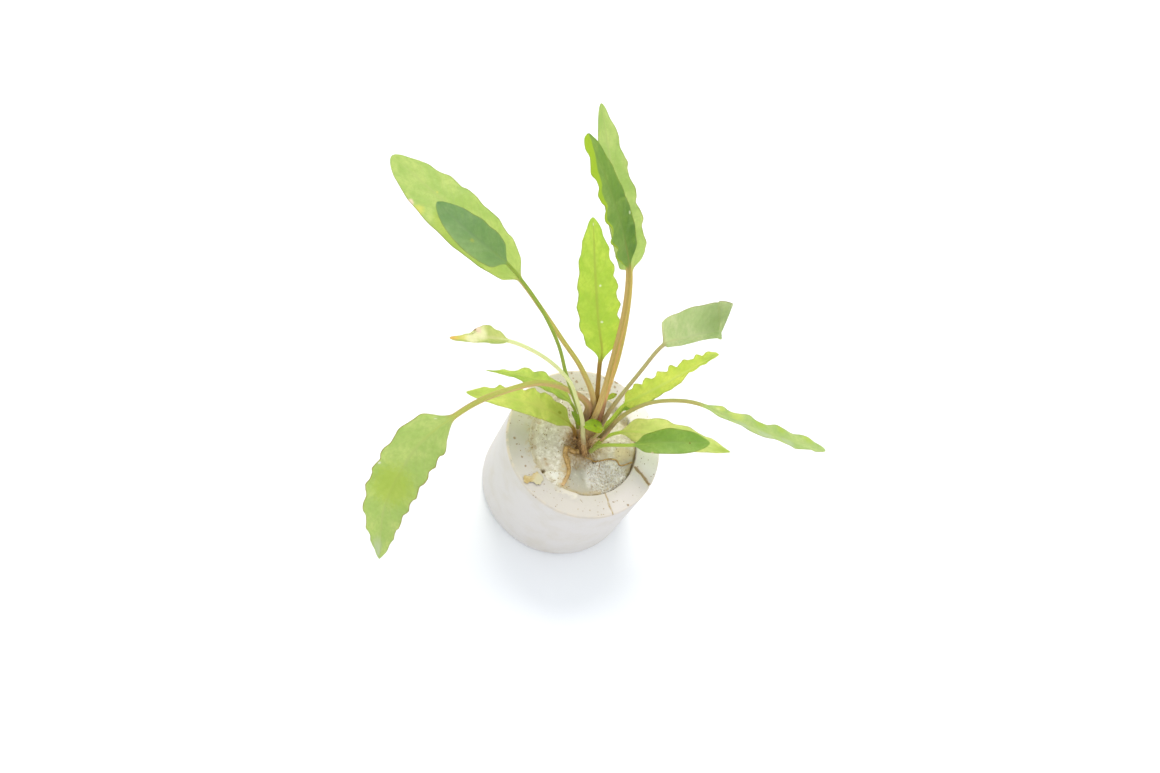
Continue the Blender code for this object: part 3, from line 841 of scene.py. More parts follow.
def wool_finish():
    finish = Finish("wet growing medium", MOUND_GREY, roughness=0.6, specular=0.35)
    place = finish.place
    x, y, z = place.parts()
    waver = wandering(place, 0.35, 0.45)
    rough_noise = noise(place, 0.75, 5.0, 0.7)
    finish.layer(MOUND_PALE, step(rough_noise, 0.42, 0.68) * 0.75)
    outside = step(mound_edge(waver), -0.1, 0.25)
    front = in_front(waver) * outside
    bright, grey = wedge_sides(waver)
    slope = finish.paint(WEDGE_BRIGHT, SLOPE_GREY, step(grey - bright, -0.05, 0.1))
    slope = finish.paint(MOUND_PALE, slope, step(rough_noise, 0.5, 0.72) * 0.35)
    finish.layer(slope, front)
    # Brown patch with painted shade where the broken front has a pocket; the shape has no hollow
    # there.
    finish.layer(BROWN_AND_SHADE, near(waver, POCKET, 0.6, 3.2) * front * 0.5)
    torn = near(waver, TORN_CENTRE, 4.4, 8.2) * in_front(waver)
    # Pale wet fibre, painted brighter as a painted reflection of the sky on the wet surface; the
    # glints on its strands are painted highlights.
    finish.layer(TORN_WET_AND_SHEEN, torn * 0.85)
    strands = noise(join(finish.tree, x * 0.8 + y * 0.6, y * 2.6 - x * 1.9, z), 1.3, 4.0, 0.65)
    finish.layer(GLINT, step(strands, 0.47, 0.62) * torn * 0.9)
    finish.layer(FIBRE_TAN, step(1.0 - strands, 0.56, 0.7) * torn * 0.55)
    finish.layer(TAN_PALE, near(waver, TAN_PATCH, 1.8, 3.4) * 0.75)
    hard = step(noise(place + (4.0, 0.0, 0.0), 1.0, 5.0, 0.78), 0.54, 0.64)
    finish.layer(BROWN_AND_SHADE, hard * (0.26 + (1.0 - front) * 0.22))
    distance, chance = cells(place, 0.42)
    spots = peak(distance, 0.06, 0.2) * above(chance, 0.74)
    finish.layer(CROWN_STAIN, spots * 0.5)
    behind_right = step(x + y, 5.0, 11.0)
    left_side = step(x * -1.0, 4.0, 9.0)
    reach = plan_distance(waver, STAIN_CENTRE) + (noise(place, 0.45, 4.0, 0.6) - 0.5) * 7.0
    reach = reach - behind_right * 2.6
    away = step(y * -1.0, 2.0, 6.0)
    finish.layer(STAIN_OCHRE, peak(reach + left_side * 2.5, 3.0, 9.0) * 0.5)
    finish.layer(CROWN_STAIN, peak(reach + away * 1.8, 2.0, 8.0) * 0.72)
    finish.layer(CROWN_SHADE, peak(reach + away * 1.0, 0.5, 4.6) * 0.7)
    turn = arc_tangent(y - STAIN_CENTRE[1], x - STAIN_CENTRE[0])
    rays = join(finish.tree, turn * 5.0, plan_distance(place, STAIN_CENTRE) * 0.45, z * 0.3)
    streaks = noise(rays, 1.6, 4.0, 0.65)
    close_by = near(waver, STAIN_CENTRE, 3.5, 9.5)
    finish.layer(CROWN_STAIN, step(streaks, 0.48, 0.58) * close_by * (1.0 - away * 0.5) * 0.8)
    finish.layer(MOUND_PALE, step(1.0 - streaks, 0.56, 0.66) * close_by * 0.22)
    wall_side = step(plan_distance(waver), 12.6, 16.4) * step(x - y * 0.6, 9.0, 14.5)
    finish.layer(WALL_SHADE, wall_side * step(rough_noise, 0.3, 0.6) * 0.8)
    flow = near_line(wandering(place, 0.6, 0.5), ROOT_STAIN, 0.6, 2.6)
    finish.layer(STAIN_OCHRE, flow * step(rough_noise, 0.34, 0.58) * 0.75)
    for stain_x, stain_y, reach in LIP_STAINS:
        spot = near(wandering(place, 1.2, 0.5), (stain_x, stain_y), reach * 0.3, reach * 1.3)
        finish.layer(CROWN_STAIN, spot * step(rough_noise, 0.4, 0.6) * 0.7)
    gap = wall_gap(place)
    damp_edge = step(plan_distance(waver), PLUG_RADIUS - 2.2, PLUG_RADIUS - 0.6)
    damp_edge *= step(noise(place + (3.0, 8.0, 0.0), 0.4, 4.0, 0.6), 0.36, 0.6)
    finish.layer(FIBRE_TAN, damp_edge * (0.3 + step(x, 2.0, 8.0) * 0.45))
    # Painted shade, brown, in the gap along the wall and in the small hollow near the crown.
    finish.layer(GAP_SHADE, gap * 0.9)
    finish.layer(GAP_SHADE, near(waver, HOLLOW_SPOT, 0.3, 1.1) * 0.8)
    seam = absolute(plan_distance(wandering(place, 0.8, 0.3)) - PLUG_RADIUS)
    seam = peak(seam, 0.1, 1.1) * step(rough_noise, 0.42, 0.62)
    finish.layer(SEAM_OLIVE, seam * (0.3 + step(x * -0.8 - y * 0.6, 4.0, 14.0) * 0.45))
    # Painted shade in the hole at the start of the crease.
    finish.layer(GAP_SHADE, near(place, CREASE_START, 0.3, 0.8))
    finish.rough(0.68 - torn * 0.4)
    finish.bump(noise(place, 2.5, 5.0, 0.7), 0.12, 0.9)
    return finish.done()


plug_piece = grow("medium_plug", plug_tree(), plug_guide(), {"Material": wool_finish()})
dress(plug_piece, "plug")

# %% [markdown]
# ## Roots on the medium
# Two roots leave the crown and creep over the medium. A root follows the ground, so the
# tree takes only its route in plan, drops every point onto the plug by a ray from above,
# smooths the height a little, and sweeps a circle whose radius tapers and varies.

# %% Roots
SKY_ABOVE = 60.0
ROOT_POINTS = 90
ROOT_SIDES = 14
ROOT_SMOOTHING = 4
MAIN_ROOT = ((0.2, -2.8), (-1.6, -4.0), (-3.7, -4.7), (-3.4, -6.2), (-1.9, -8.0), (0.2, -9.6),
             (1.2, -11.4), (1.5, -13.6), (1.5, -16.4))
MAIN_ROOT_FORK = ((-3.3, -6.4), (-2.2, -6.9), (-0.9, -7.6), (0.6, -9.4), (1.5, -11.0))
SIDE_ROOT = ((1.9, -3.0), (3.4, -2.9), (5.2, -2.0), (7.3, -0.9), (9.4, 1.5), (11.5, 2.6),
             (13.4, 1.9), (14.6, 2.5), (16.2, 4.3))
SIDE_ROOT_FORK = ((7.4, -0.9), (8.1, -2.2), (8.6, -4.0), (9.8, -6.0))


def root_tree():
    sizes = {"Radius": 0.5, "Taper": 0.5, "Sinking": 0.2, "Seed": 0.0, "Ground": "object",
             "Material": None}
    tree, size = geometry_tree("Root on the ground", sizes)
    ground = add_node(tree, "GeometryNodeObjectInfo", {"Object": size["Ground"]})
    target = in_millimetres(tree, Flow(ground.outputs["Geometry"]))
    curve = made(tree, "MeshToCurve", {0: size["Geometry"]})
    curve = made(tree, "ResampleCurve", {"Curve": curve, "Count": ROOT_POINTS})
    place = by_place(tree)
    x, y, _ = place.parts()
    ray = add_node(tree, "GeometryNodeRaycast", {
        "Target Geometry": target, "Source Position": join(tree, x, y, SKY_ABOVE),
        "Ray Direction": (0.0, 0.0, -1.0), "Ray Length": SKY_ABOVE})
    _, _, hit = Flow(ray.outputs["Hit Position"]).parts()
    blur = add_node(tree, "GeometryNodeBlurAttribute", {"Value": hit, "Iterations": ROOT_SMOOTHING})
    share = Flow(add_node(tree, "GeometryNodeSplineParameter").outputs["Factor"])
    swelling = 0.75 + noise(join(tree, share * 14.0, size["Seed"], 0.0), 1.0, 2.0) * 0.5
    radius = size["Radius"] * (1.0 - share * size["Taper"]) * swelling
    sway = noise(join(tree, share * 9.0, size["Seed"], 4.0), 1.0) - 0.5
    height = first(blur) + radius - size["Sinking"]
    route = join(tree, x + sway * 0.7, y + sway * 0.5, height)
    laid = made(tree, "SetPosition", {"Geometry": curve, "Position": route})
    ring = made(tree, "CurvePrimitiveCircle", {"Resolution": ROOT_SIDES, "Radius": 1.0})
    tube = made(tree, "CurveToMesh", {
        "Curve": laid, "Profile Curve": ring, "Scale": radius, "Fill Caps": True})
    return end_tree(tree, tube, size["Material"])


ROOT_DARK = (0.34, 0.2, 0.055)
ROOT_TAN = (0.56, 0.36, 0.12)
ROOT_FLECK = (0.24, 0.13, 0.04)
ROOT_BLEACHED = (0.76, 0.52, 0.27)


def root_finish():
    finish = Finish("fresh root", ROOT_DARK, roughness=0.45, specular=0.5)
    place = finish.place
    tint = noise(place, 0.9, 4.0, 0.6)
    finish.layer(ROOT_TAN, step(tint, 0.36, 0.62))
    finish.layer(ROOT_FLECK, step(noise(place, 2.2, 3.0), 0.54, 0.7) * 0.7)
    _, y, _ = place.parts()
    finish.layer(ROOT_BLEACHED, peak(y, -17.0, -10.0) * 0.6)
    finish.bump(noise(place, 3.0, 4.0), 0.05)
    return finish.done()


root_material = root_finish()
root_nodes = root_tree()
for name, route, sizes, node in (
        ("main_root", MAIN_ROOT, {"Radius": 0.92, "Taper": 0.45, "Sinking": 0.45}, "root_main"),
        ("main_root_strand", MAIN_ROOT_FORK, {"Radius": 0.4, "Seed": 3.0, "Sinking": 0.2}, None),
        ("side_root_long", SIDE_ROOT, {"Radius": 0.3, "Taper": 0.2, "Seed": 5.0, "Sinking": 0.12},
         "root_side"),
        ("side_root_strand", SIDE_ROOT_FORK, {"Radius": 0.15, "Seed": 8.0, "Sinking": 0.08}, None)):
    samples, _, _ = smooth_route([(x, y, 0.0) for x, y in route])
    values = {**sizes, "Ground": plug_piece, "Material": root_material}
    dress(grow(name, root_nodes, guide_mesh(samples), values), node)

# %% [markdown]
# ## Loose fibres and grains
# The torn medium bristles with pale fibres, brown rootlets lie round the crown, and brown
# grains are strewn over the rim. Each kind is one small shape set on many points of a
# surface. The points come from a fixed seed, a mask in plan says where they may lie, and
# every copy is turned and scaled by chance. The instances are realized at the end.

# %% Scattering tree
FIBRE_POINTS = 7
FIBRE_SIDES = 5


def fibre_shape(tree, size):
    """A short bent thread, one unit long."""
    bend = made(tree, "CurveQuadraticBezier", {
        "Resolution": FIBRE_POINTS, "Start": (-0.5, 0.0, -0.03), "Middle": (0.0, 0.32, 0.3),
        "End": (0.5, 0.0, 0.02)})
    ring = made(tree, "CurvePrimitiveCircle", {
        "Resolution": FIBRE_SIDES, "Radius": size["Thickness"]})
    return made(tree, "CurveToMesh", {"Curve": bend, "Profile Curve": ring, "Fill Caps": True})


def grain_shape(tree, size):
    """A small rough lump, one unit across."""
    lump = made(tree, "MeshIcoSphere", {"Radius": 0.5, "Subdivisions": 2})
    bumps = (noise(by_place(tree), 2.2, 2.0) - 0.5) * size["Thickness"]
    return made(tree, "SetPosition", {"Geometry": lump, "Offset": by_place(tree).scaled(bumps)})


def scatter_tree(name, make_shape, mask):
    """Scatter copies of a shape over the masked part of a surface."""
    sizes = {"Density": 0.5, "Seed": 1, "Thickness": 0.05, "Smallest": 0.5, "Largest": 1.0,
             "Tilt": 0.5, "Material": None}
    tree, size = geometry_tree(name, sizes)
    surface = in_millimetres(tree, size["Geometry"])
    spread = add_node(tree, "GeometryNodeDistributePointsOnFaces", {
        "Mesh": surface, "Selection": mask(by_place(tree)), "Density": size["Density"],
        "Seed": size["Seed"]})
    chance = add_node(tree, "FunctionNodeRandomValue", data_type="FLOAT_VECTOR")
    plug((-1.0, -1.0, -1.0), chance.inputs[0])
    plug((1.0, 1.0, 1.0), chance.inputs[1])
    plug(size["Seed"], chance.inputs["Seed"])
    tip_x, tip_y, spin = first(chance).parts()
    turn = join(tree, tip_x * size["Tilt"], tip_y * size["Tilt"], spin * math.pi)
    turned = add_node(tree, "FunctionNodeRotateRotation", {
        "Rotation": Flow(spread.outputs["Rotation"]),
        "Rotate By": first(add_node(tree, "FunctionNodeEulerToRotation", {0: turn}))},
        rotation_space="LOCAL")
    growth = add_node(tree, "FunctionNodeRandomValue", data_type="FLOAT")
    plug(size["Smallest"], growth.inputs[2])
    plug(size["Largest"], growth.inputs[3])
    strewn = made(tree, "InstanceOnPoints", {
        "Points": first(spread), "Instance": make_shape(tree, size), "Rotation": first(turned),
        "Scale": Flow(growth.outputs[1])})
    return end_tree(tree, strewn, size["Material"])


def on_torn_medium(place):
    return above(near(place, TORN_CENTRE, 4.5, 6.5) * in_front(place), 0.3)


def round_the_crown(place):
    _, _, height = place.parts()
    close_by = near(place, (0.0, -2.0), 3.0, 9.0)
    return above(close_by * step(height, 33.0, 34.0) - noise(place, 0.5), 0.0)


def on_top(place):
    _, _, height = place.parts()
    return above(noise(place, 0.25, 2.0) + step(height, 37.2, 37.8), 1.4)


def on_medium_top(place):
    _, _, height = place.parts()
    return above(noise(place, 0.3, 2.0) + step(height, 32.0, 33.0), 1.5)


# %% Scattered pieces
THREADS_AND_GRAINS = {"pale fibre": ((0.86, 0.84, 0.76), (0.62, 0.52, 0.34)),
                      "brown rootlet": ((0.52, 0.38, 0.2), (0.36, 0.23, 0.1)),
                      "brown grain": ((0.3, 0.19, 0.07), (0.5, 0.38, 0.16)),
                      "pale grain": ((0.88, 0.86, 0.8), (0.66, 0.62, 0.52))}


def thread_finish(name, colour, dark):
    finish = Finish(name, colour, roughness=0.35, specular=0.6)
    finish.layer(dark, step(noise(finish.place, 1.4, 3.0), 0.45, 0.65))
    return finish.done()


SCATTER_SIZES = ("Density", "Seed", "Thickness", "Smallest", "Largest", "Tilt")
finishes = {name: thread_finish(name, *tones) for name, tones in THREADS_AND_GRAINS.items()}
for name, make_shape, mask, surface, slot, look, *sizes in (
        ("torn_fibres", fibre_shape, on_torn_medium, plug_piece, "medium", "pale fibre",
         3.4, 4, 0.035, 1.0, 2.6, 0.5),
        ("torn_grains", grain_shape, on_torn_medium, plug_piece, "medium", "pale grain",
         2.6, 9, 1.2, 0.15, 0.55, 0.5),
        ("crown_rootlets", fibre_shape, round_the_crown, plug_piece, "root", "brown rootlet",
         0.6, 6, 0.032, 1.0, 2.6, 0.16),
        ("rim_grains", grain_shape, on_top, pot, "medium", "brown grain",
         0.2, 3, 1.3, 0.1, 0.36, 0.5),
        ("medium_grains", grain_shape, on_medium_top, plug_piece, "medium", "brown grain",
         0.5, 12, 1.3, 0.1, 0.42, 0.5)):
    values = dict(zip(SCATTER_SIZES, sizes), Material=finishes[look])
    strewn = grow(name, scatter_tree(name, make_shape, mask), surface.data.copy(), values)
    dress(strewn, None)

# %% [markdown]
# ## The crown, its sheaths and a dry scrap
# All stalks rise from one short stump. Each stalk's foot widens into a thin brown sheath
# that clasps the younger ones, which gives the stump its ridges. A scrap of dry leaf has
# stuck to the rim. The stump is a ridged loft; sheaths and scrap are thin sheets made from
# a grid of points, with a front, a back and a closed edge.

# %% Crown
CROWN_TOP = (-1.2, 2.6)
CROWN_BASE = 36.2
CROWN_RISE = 7.6
CROWN_OUTLINE = ((35.4, 2.4), (36.4, 1.9), (38.0, 2.1), (41.0, 2.4), (43.0, 2.7), (44.4, 2.3),
                 (45.6, 0.9))
CROWN_RINGS = 70
CROWN_SIDES = 110
CROWN_RIDGES = 7


def mesh_object(name, points, faces, material):
    """A smooth-shaded object from points in millimetres."""
    mesh = bpy.data.meshes.new(name)
    mesh.from_pydata([tuple(float(v) * MM for v in point) for point in points], [], faces)
    mesh.shade_smooth()
    mesh.materials.append(material)
    return keep(name, mesh)


def crown_points():
    heights, radii = np.array(CROWN_OUTLINE).T
    foot, top = np.array(CROWN_FOOT), np.array(CROWN_TOP)
    angles = np.linspace(0.0, TURN, CROWN_SIDES, endpoint=False)
    points = []
    for share in np.linspace(0.0, 1.0, CROWN_RINGS):
        z = heights[0] + (heights[-1] - heights[0]) * share
        centre = foot + (top - foot) * (z - CROWN_BASE) / CROWN_RISE
        ridges = 0.11 * np.cos(CROWN_RIDGES * angles + 3.5 * share)
        ridges += 0.045 * np.cos(17.0 * angles - 5.0 * share)
        ridges += 0.03 * np.sin(31.0 * angles + 9.0 * share)
        radius = np.interp(z, heights, radii) * (1.0 + ridges)
        points += [(centre[0] + r * math.cos(a), centre[1] + r * math.sin(a), z)
                   for r, a in zip(radius, angles)]
    return points


def crown_faces():
    rings = [range(row * CROWN_SIDES, (row + 1) * CROWN_SIDES) for row in range(CROWN_RINGS)]
    faces = [tuple(reversed(rings[0]))]
    for low, high in zip(rings, rings[1:]):
        faces += [(low[i - 1], low[i], high[i], high[i - 1]) for i in range(CROWN_SIDES)]
    return faces + [tuple(rings[-1])]


SHEATH_DARK = (0.2, 0.105, 0.038)
SHEATH_BROWN = (0.44, 0.265, 0.105)
SHEATH_RED = (0.4, 0.21, 0.09)
SHEATH_FOOT = (0.1, 0.055, 0.02)
SHEATH_DRY = (0.54, 0.4, 0.18)


def sheath_finish():
    finish = Finish("leaf sheath", SHEATH_DARK, roughness=0.6, specular=0.12)
    x, y, z = finish.place.parts()
    grain = noise(join(finish.tree, x * 2.0, y * 2.0, z * 0.35), 1.0, 4.0, 0.6)
    finish.layer(SHEATH_BROWN, step(grain, 0.34, 0.6))
    finish.layer(SHEATH_RED, step(grain, 0.58, 0.72) * 0.5)
    finish.layer(SHEATH_FOOT, peak(z, 35.6, 40.5) * 0.65)
    finish.layer(SHEATH_DRY, step(z, 41.0, 46.0) * 0.5)
    finish.bump(grain, 0.06)
    return finish.done()


sheath_material = sheath_finish()
crown = mesh_object("crown_stump", crown_points(), crown_faces(), sheath_material)
dress(crown, "crown")


# %% Thin sheets
SHEATH_LENGTH = 9.0
SHEATH_ROWS = 26
SHEATH_COLUMNS = 15
SHEATH_SPREAD = 2.0
SHEATH_THICKNESS = 0.16
SHEATH_SHARE = 0.45
SHEATH_FOOT_SIZE = 1.42
SHEATH_TAPER = 0.34
CROWN_AXIS = (-0.3, 0.8)


def thin_sheet(grid, thickness):
    """Points and faces of a closed sheet round a grid of points (rows, columns, 3)."""
    rows, columns, _ = grid.shape
    normals = np.cross(np.gradient(grid, axis=0), np.gradient(grid, axis=1))
    normals /= np.maximum(np.linalg.norm(normals, axis=2, keepdims=True), 1e-9)
    front = (grid + normals * thickness / 2).reshape(-1, 3)
    back = (grid - normals * thickness / 2).reshape(-1, 3)
    count = rows * columns
    index = np.arange(count).reshape(rows, columns)
    corners = (index[:-1, :-1], index[:-1, 1:], index[1:, :-1], index[1:, 1:])
    faces = []
    for a, b, d, e in zip(*(part.ravel().tolist() for part in corners)):
        faces += [(a, d, e, b), (count + a, count + b, count + e, count + d)]
    edge = np.concatenate([index[0], index[1:, -1], index[-1, -2::-1], index[-2:0:-1, 0]]).tolist()
    faces += [(a, b, count + b, count + a) for a, b in zip(edge, edge[1:] + edge[:1])]
    return np.vstack([front, back]), faces


def sheath_grid(leaf):
    """The foot of a stalk, wrapped on its outer side by a sheath that ends in a point."""
    samples, lengths, marks = smooth_route(leaf["route"])
    reach = min(SHEATH_LENGTH, marks[leaf["blade"]] * SHEATH_SHARE)
    places = np.linspace(0.0, reach, SHEATH_ROWS)
    line = np.stack([np.interp(places, lengths, samples[:, k]) for k in range(3)], axis=1)
    along = np.gradient(line, axis=0)
    along /= np.linalg.norm(along, axis=1, keepdims=True)
    outward = line - np.array([*CROWN_AXIS, 0.0])
    outward[:, 2] = 0.0
    outward -= along * np.sum(outward * along, axis=1, keepdims=True)
    outward /= np.linalg.norm(outward, axis=1, keepdims=True)
    sideways = np.cross(along, outward)
    stalk_radius = leaf.get("petiole", LEAF_SIZES["Petiole"])
    grid = np.empty((SHEATH_ROWS, SHEATH_COLUMNS, 3))
    for row in range(SHEATH_ROWS):
        share = row / (SHEATH_ROWS - 1)
        radius = stalk_radius * (SHEATH_FOOT_SIZE - SHEATH_TAPER * share)
        half_angle = SHEATH_SPREAD * math.sqrt(1.0 - share ** 2.0) + 0.05
        for column in range(SHEATH_COLUMNS):
            angle = half_angle * (2.0 * column / (SHEATH_COLUMNS - 1) - 1.0)
            around = outward[row] * math.cos(angle) + sideways[row] * math.sin(angle)
            grid[row, column] = line[row] + around * radius
    return grid


# %% Dry scrap
SCRAP_FROM = (-9.6, -22.2)
SCRAP_TO = (-4.6, -18.0)
SCRAP_HALF_WIDTH = 2.1
SCRAP_WAIST = 0.34
SCRAP_FRAY = 0.1
SCRAP_THICKNESS = 0.14
SCRAP_ROWS = 44
SCRAP_COLUMNS = 23
SCRAP_OCHRE = (0.64, 0.52, 0.27)
SCRAP_BROWN = (0.53, 0.39, 0.16)
SCRAP_PALE = (0.62, 0.56, 0.36)


def scrap_grid():
    """A dry scrap of leaf, with a waist and a curled edge, lying on the rim."""
    begin, end = np.array(SCRAP_FROM), np.array(SCRAP_TO)
    along = (end - begin) / np.linalg.norm(end - begin)
    side = np.array([-along[1], along[0]])
    grid = np.empty((SCRAP_ROWS, SCRAP_COLUMNS, 3))
    for row in range(SCRAP_ROWS):
        u = 0.02 + 0.96 * row / (SCRAP_ROWS - 1)
        waist = 0.78 + SCRAP_WAIST * math.cos(TURN * 1.35 * u)
        width = SCRAP_HALF_WIDTH * math.sin(math.pi * u) ** 0.45 * waist
        for column in range(SCRAP_COLUMNS):
            v = 2.0 * column / (SCRAP_COLUMNS - 1) - 1.0
            ragged = 1.0 + SCRAP_FRAY * math.sin(31.0 * u + 4.0 * v) * abs(v) ** 4
            place = begin + (end - begin) * u + side * (v * width * ragged)
            curl = 0.16 + 0.3 * abs(v) ** 3 + 0.1 * math.sin(9.0 * u + 3.0 * v)
            grid[row, column] = (*place, POT_HEIGHT + max(0.06, curl))
    return grid


def scrap_finish():
    finish = Finish("dry leaf scrap", SCRAP_OCHRE, roughness=0.7, specular=0.3)
    x, _, _ = finish.place.parts()
    finish.layer(SCRAP_BROWN, step(noise(finish.place, 0.8, 4.0), 0.4, 0.6))
    finish.layer(SCRAP_PALE, step(x, -7.6, -6.2))
    finish.bump(noise(finish.place, 2.5, 4.0), 0.1)
    return finish.done()


scrap = mesh_object("dry_scrap", *thin_sheet(scrap_grid(), SCRAP_THICKNESS), scrap_finish())
dress(scrap, None)

# %% [markdown]
# ## The leaves
# Every leaf is one solid sheet lofted along its midrib, from a round stalk to a flat blade.
# A grid is bent round: one way along the leaf, the other way round its section. The blade's
# width swells and tapers by one power of a sine. Its edge waves up and down and swings in
# and out, each wave a little different from the last, and the veins run from the midrib
# towards the tip with the blade bulging between them. All this is one tree with named
# inputs, and the midribs follow the same routes as the solids.

# %% Leaf tree
STALK_SHARE = 0.22
DIRECTION_REACH = 0.02
VEIN_SLANT = 0.2
SKIN_WAVE = 0.18
STALK_GROOVE = 0.35
END_CAP = 0.012
LEAF_SIZES = {
    "Rows": 220, "Around": 73, "Blade start": 0.4, "Petiole": 0.5, "Half width": 6.0,
    "Right share": 1.0, "Swell power": 0.8, "Fullness": 0.6, "Tip fullness": 0.6, "Shoulder": 0.0,
    "Blend": 0.16, "Tail": 0.0, "Torn from": 1.3, "Fold": 8.0, "Ruffle": 0.6, "Waves": 6.0,
    "Scallop": 0.05, "Chance": 0.12, "Phase": 0.0, "Base tilt": 0.0, "Tip tilt": 0.0,
    "Across": (1.0, 0.0, 0.0), "Tip across": (1.0, 0.0, 0.0), "Thickness": 0.32, "Sheath": 0.45,
    "Veins": 9.0, "Seed": 0.0, "Material": None,
}


def midrib_frame(tree, size, s, t):
    """Where the midrib is at s, and the two directions of the section there."""
    curve = made(tree, "MeshToCurve", {0: size["Geometry"]})

    def on_curve(share):
        node = add_node(tree, "GeometryNodeSampleCurve", {"Curves": curve, "Factor": share},
                        mode="FACTOR")
        return Flow(node.outputs["Position"])

    ahead, behind = at_most(s + DIRECTION_REACH, 1.0), at_least(s - DIRECTION_REACH, 0.0)
    direction = (on_curve(ahead) - on_curve(behind)).unit()
    across = mix(size["Across"], size["Tip across"], t)
    across = (across - direction.scaled(across.dot(direction))).unit()
    face = across.cross(direction)
    tilt = mix(size["Base tilt"], size["Tip tilt"], t) * math.radians(1.0)
    return (on_curve(s), across.scaled(cosine(tilt)) + face.scaled(sine(tilt)),
            face.scaled(cosine(tilt)) - across.scaled(sine(tilt)))


def blade_waves(tree, size, t, side):
    """The edge's slow wave and its quick one, both of uneven length and height."""
    jitter = noise(join(tree, t * 4.5, side * 3.0, size["Seed"]), 1.0, 1.0) - 0.5
    beat = (t + jitter * size["Chance"]) * size["Waves"] * TURN + size["Phase"]
    swing = noise(join(tree, t * size["Waves"] * 0.8, side * 5.0, size["Seed"] + 7.0), 1.0, 0.0) - 0.5
    swing = swing * size["Chance"] * 9.0
    wave = sine(beat + side) * (1.0 + swing)
    fine = sine(beat * 2.4 + side * 2.3 + size["Seed"]) * (0.6 - swing)
    return wave, fine


def blade_section(tree, size, x, t):
    """The flat blade's section: distance across, height, and half thickness, at x from -1 to 1."""
    edge, side = absolute(x), sign(x)
    right = above(x, 0.0)
    wave, fine = blade_waves(tree, size, t, side)
    arch = at_least(sine(t * math.pi), 0.0)
    base_fullness = size["Fullness"] * (1.0 - size["Shoulder"] * side)
    fullness = mix(base_fullness, size["Tip fullness"], step(t, 0.35, 0.75))
    swell = at_least(sine((t ** size["Swell power"]) * math.pi), 0.0) ** fullness
    stem = size["Petiole"] * (1.0 - t)
    width = stem + (size["Half width"] - stem) * swell
    width *= 1.0 - step(t, 0.58, 0.8) * size["Tail"]
    width *= 1.0 + (wave + fine * 0.25) * size["Scallop"]
    width *= 1.0 - (1.0 - size["Right share"]) * right
    tear = noise(join(tree, x * 3.0, size["Seed"], 0.0), 2.5, 3.0) - 0.5
    ragged = size["Torn from"] + tear * 0.08
    width *= 1.0 - step(t, ragged - 0.16, ragged + 0.04) * right * 0.7
    sharp = edge * edge
    lift = edge * width * tangent(size["Fold"] * math.radians(1.0))
    lift += (wave + fine * 0.25) * size["Ruffle"] * sharp * root(arch)
    swaying = join(tree, t * 5.0, x * 1.3, size["Seed"])
    lift += (noise(swaying, 1.0, 1.0) - 0.5) * edge * arch * size["Ruffle"] * 1.6
    vein = cosine((t - edge * VEIN_SLANT) * size["Veins"] * TURN)
    lift += vein * arch * edge * (1.0 - sharp) * SKIN_WAVE
    close = 1.0 - (t ** 14.0)
    thickness = size["Thickness"] * (1.0 - edge * 0.4) * 0.5
    thickness *= root(1.0 - (edge ** 8.0)) * root(close)
    return x * width, lift * close, thickness, close


def stalk_section(size, round_share, stalk, upper):
    """The stalk's round section, with a groove along its upper side and a wide foot."""
    angle = round_share * TURN
    radius = size["Petiole"] * (1.0 + size["Sheath"] * ((1.0 - stalk) ** 3.0))
    round_x = cosine(angle) * radius * -1.0
    groove = exponential((round_x / radius * 2.2) ** 2.0 * -1.0)
    return round_x, sine(angle) * radius - groove * radius * STALK_GROOVE * upper


def leaf_tree():
    tree, size = geometry_tree("Leaf along its midrib", LEAF_SIZES)
    grid = made(tree, "MeshGrid", {
        "Size X": 1.0, "Size Y": 1.0, "Vertices X": size["Rows"], "Vertices Y": size["Around"]})
    x, y, _ = by_place(tree).parts()
    along, round_share = x + 0.5, y + 0.5
    t = at_least((along - STALK_SHARE) / (1.0 - STALK_SHARE), 0.0)
    stalk = at_most(along / STALK_SHARE, 1.0)
    s = size["Blade start"] * stalk + (1.0 - size["Blade start"]) * t
    centre, across, face = midrib_frame(tree, size, s, t)
    place = 1.0 - absolute(round_share * 4.0 - 2.0)
    upper = 1.0 - above(round_share, 0.5)
    flat_x, flat_z, thickness, close = blade_section(tree, size, place, t)
    radius = size["Petiole"]
    ratio = flat_x / mix(radius * 0.8 + 0.2, 0.3, t)
    rib = exponential(ratio * ratio * -1.0) * close
    flat_z += (thickness - rib * 0.1) * upper
    flat_z -= (thickness + rib * (radius * (1.0 - t) * 0.8 + 0.08)) * (1.0 - upper)
    round_x, round_z = stalk_section(size, round_share, stalk, upper)
    flatness = step(t, 0.0, size["Blend"])
    cap = root(1.0 - (1.0 - at_most(along / END_CAP, 1.0)) ** 2.0)
    section_x = mix(round_x, flat_x, flatness) * cap
    section_z = mix(round_z, flat_z, flatness) * cap
    target = centre + across.scaled(section_x) + face.scaled(section_z)
    values = {"Geometry": grid, "Name": "leaf", "Value": join(tree, place, t, s)}
    stored = made(tree, "StoreNamedAttribute", values, data_type="FLOAT_VECTOR")
    shape = made(tree, "SetPosition", {"Geometry": stored, "Position": target})
    return end_tree(tree, shape, size["Material"])


leaf_nodes = leaf_tree()
print("leaf tree has", len(leaf_nodes.nodes), "nodes")

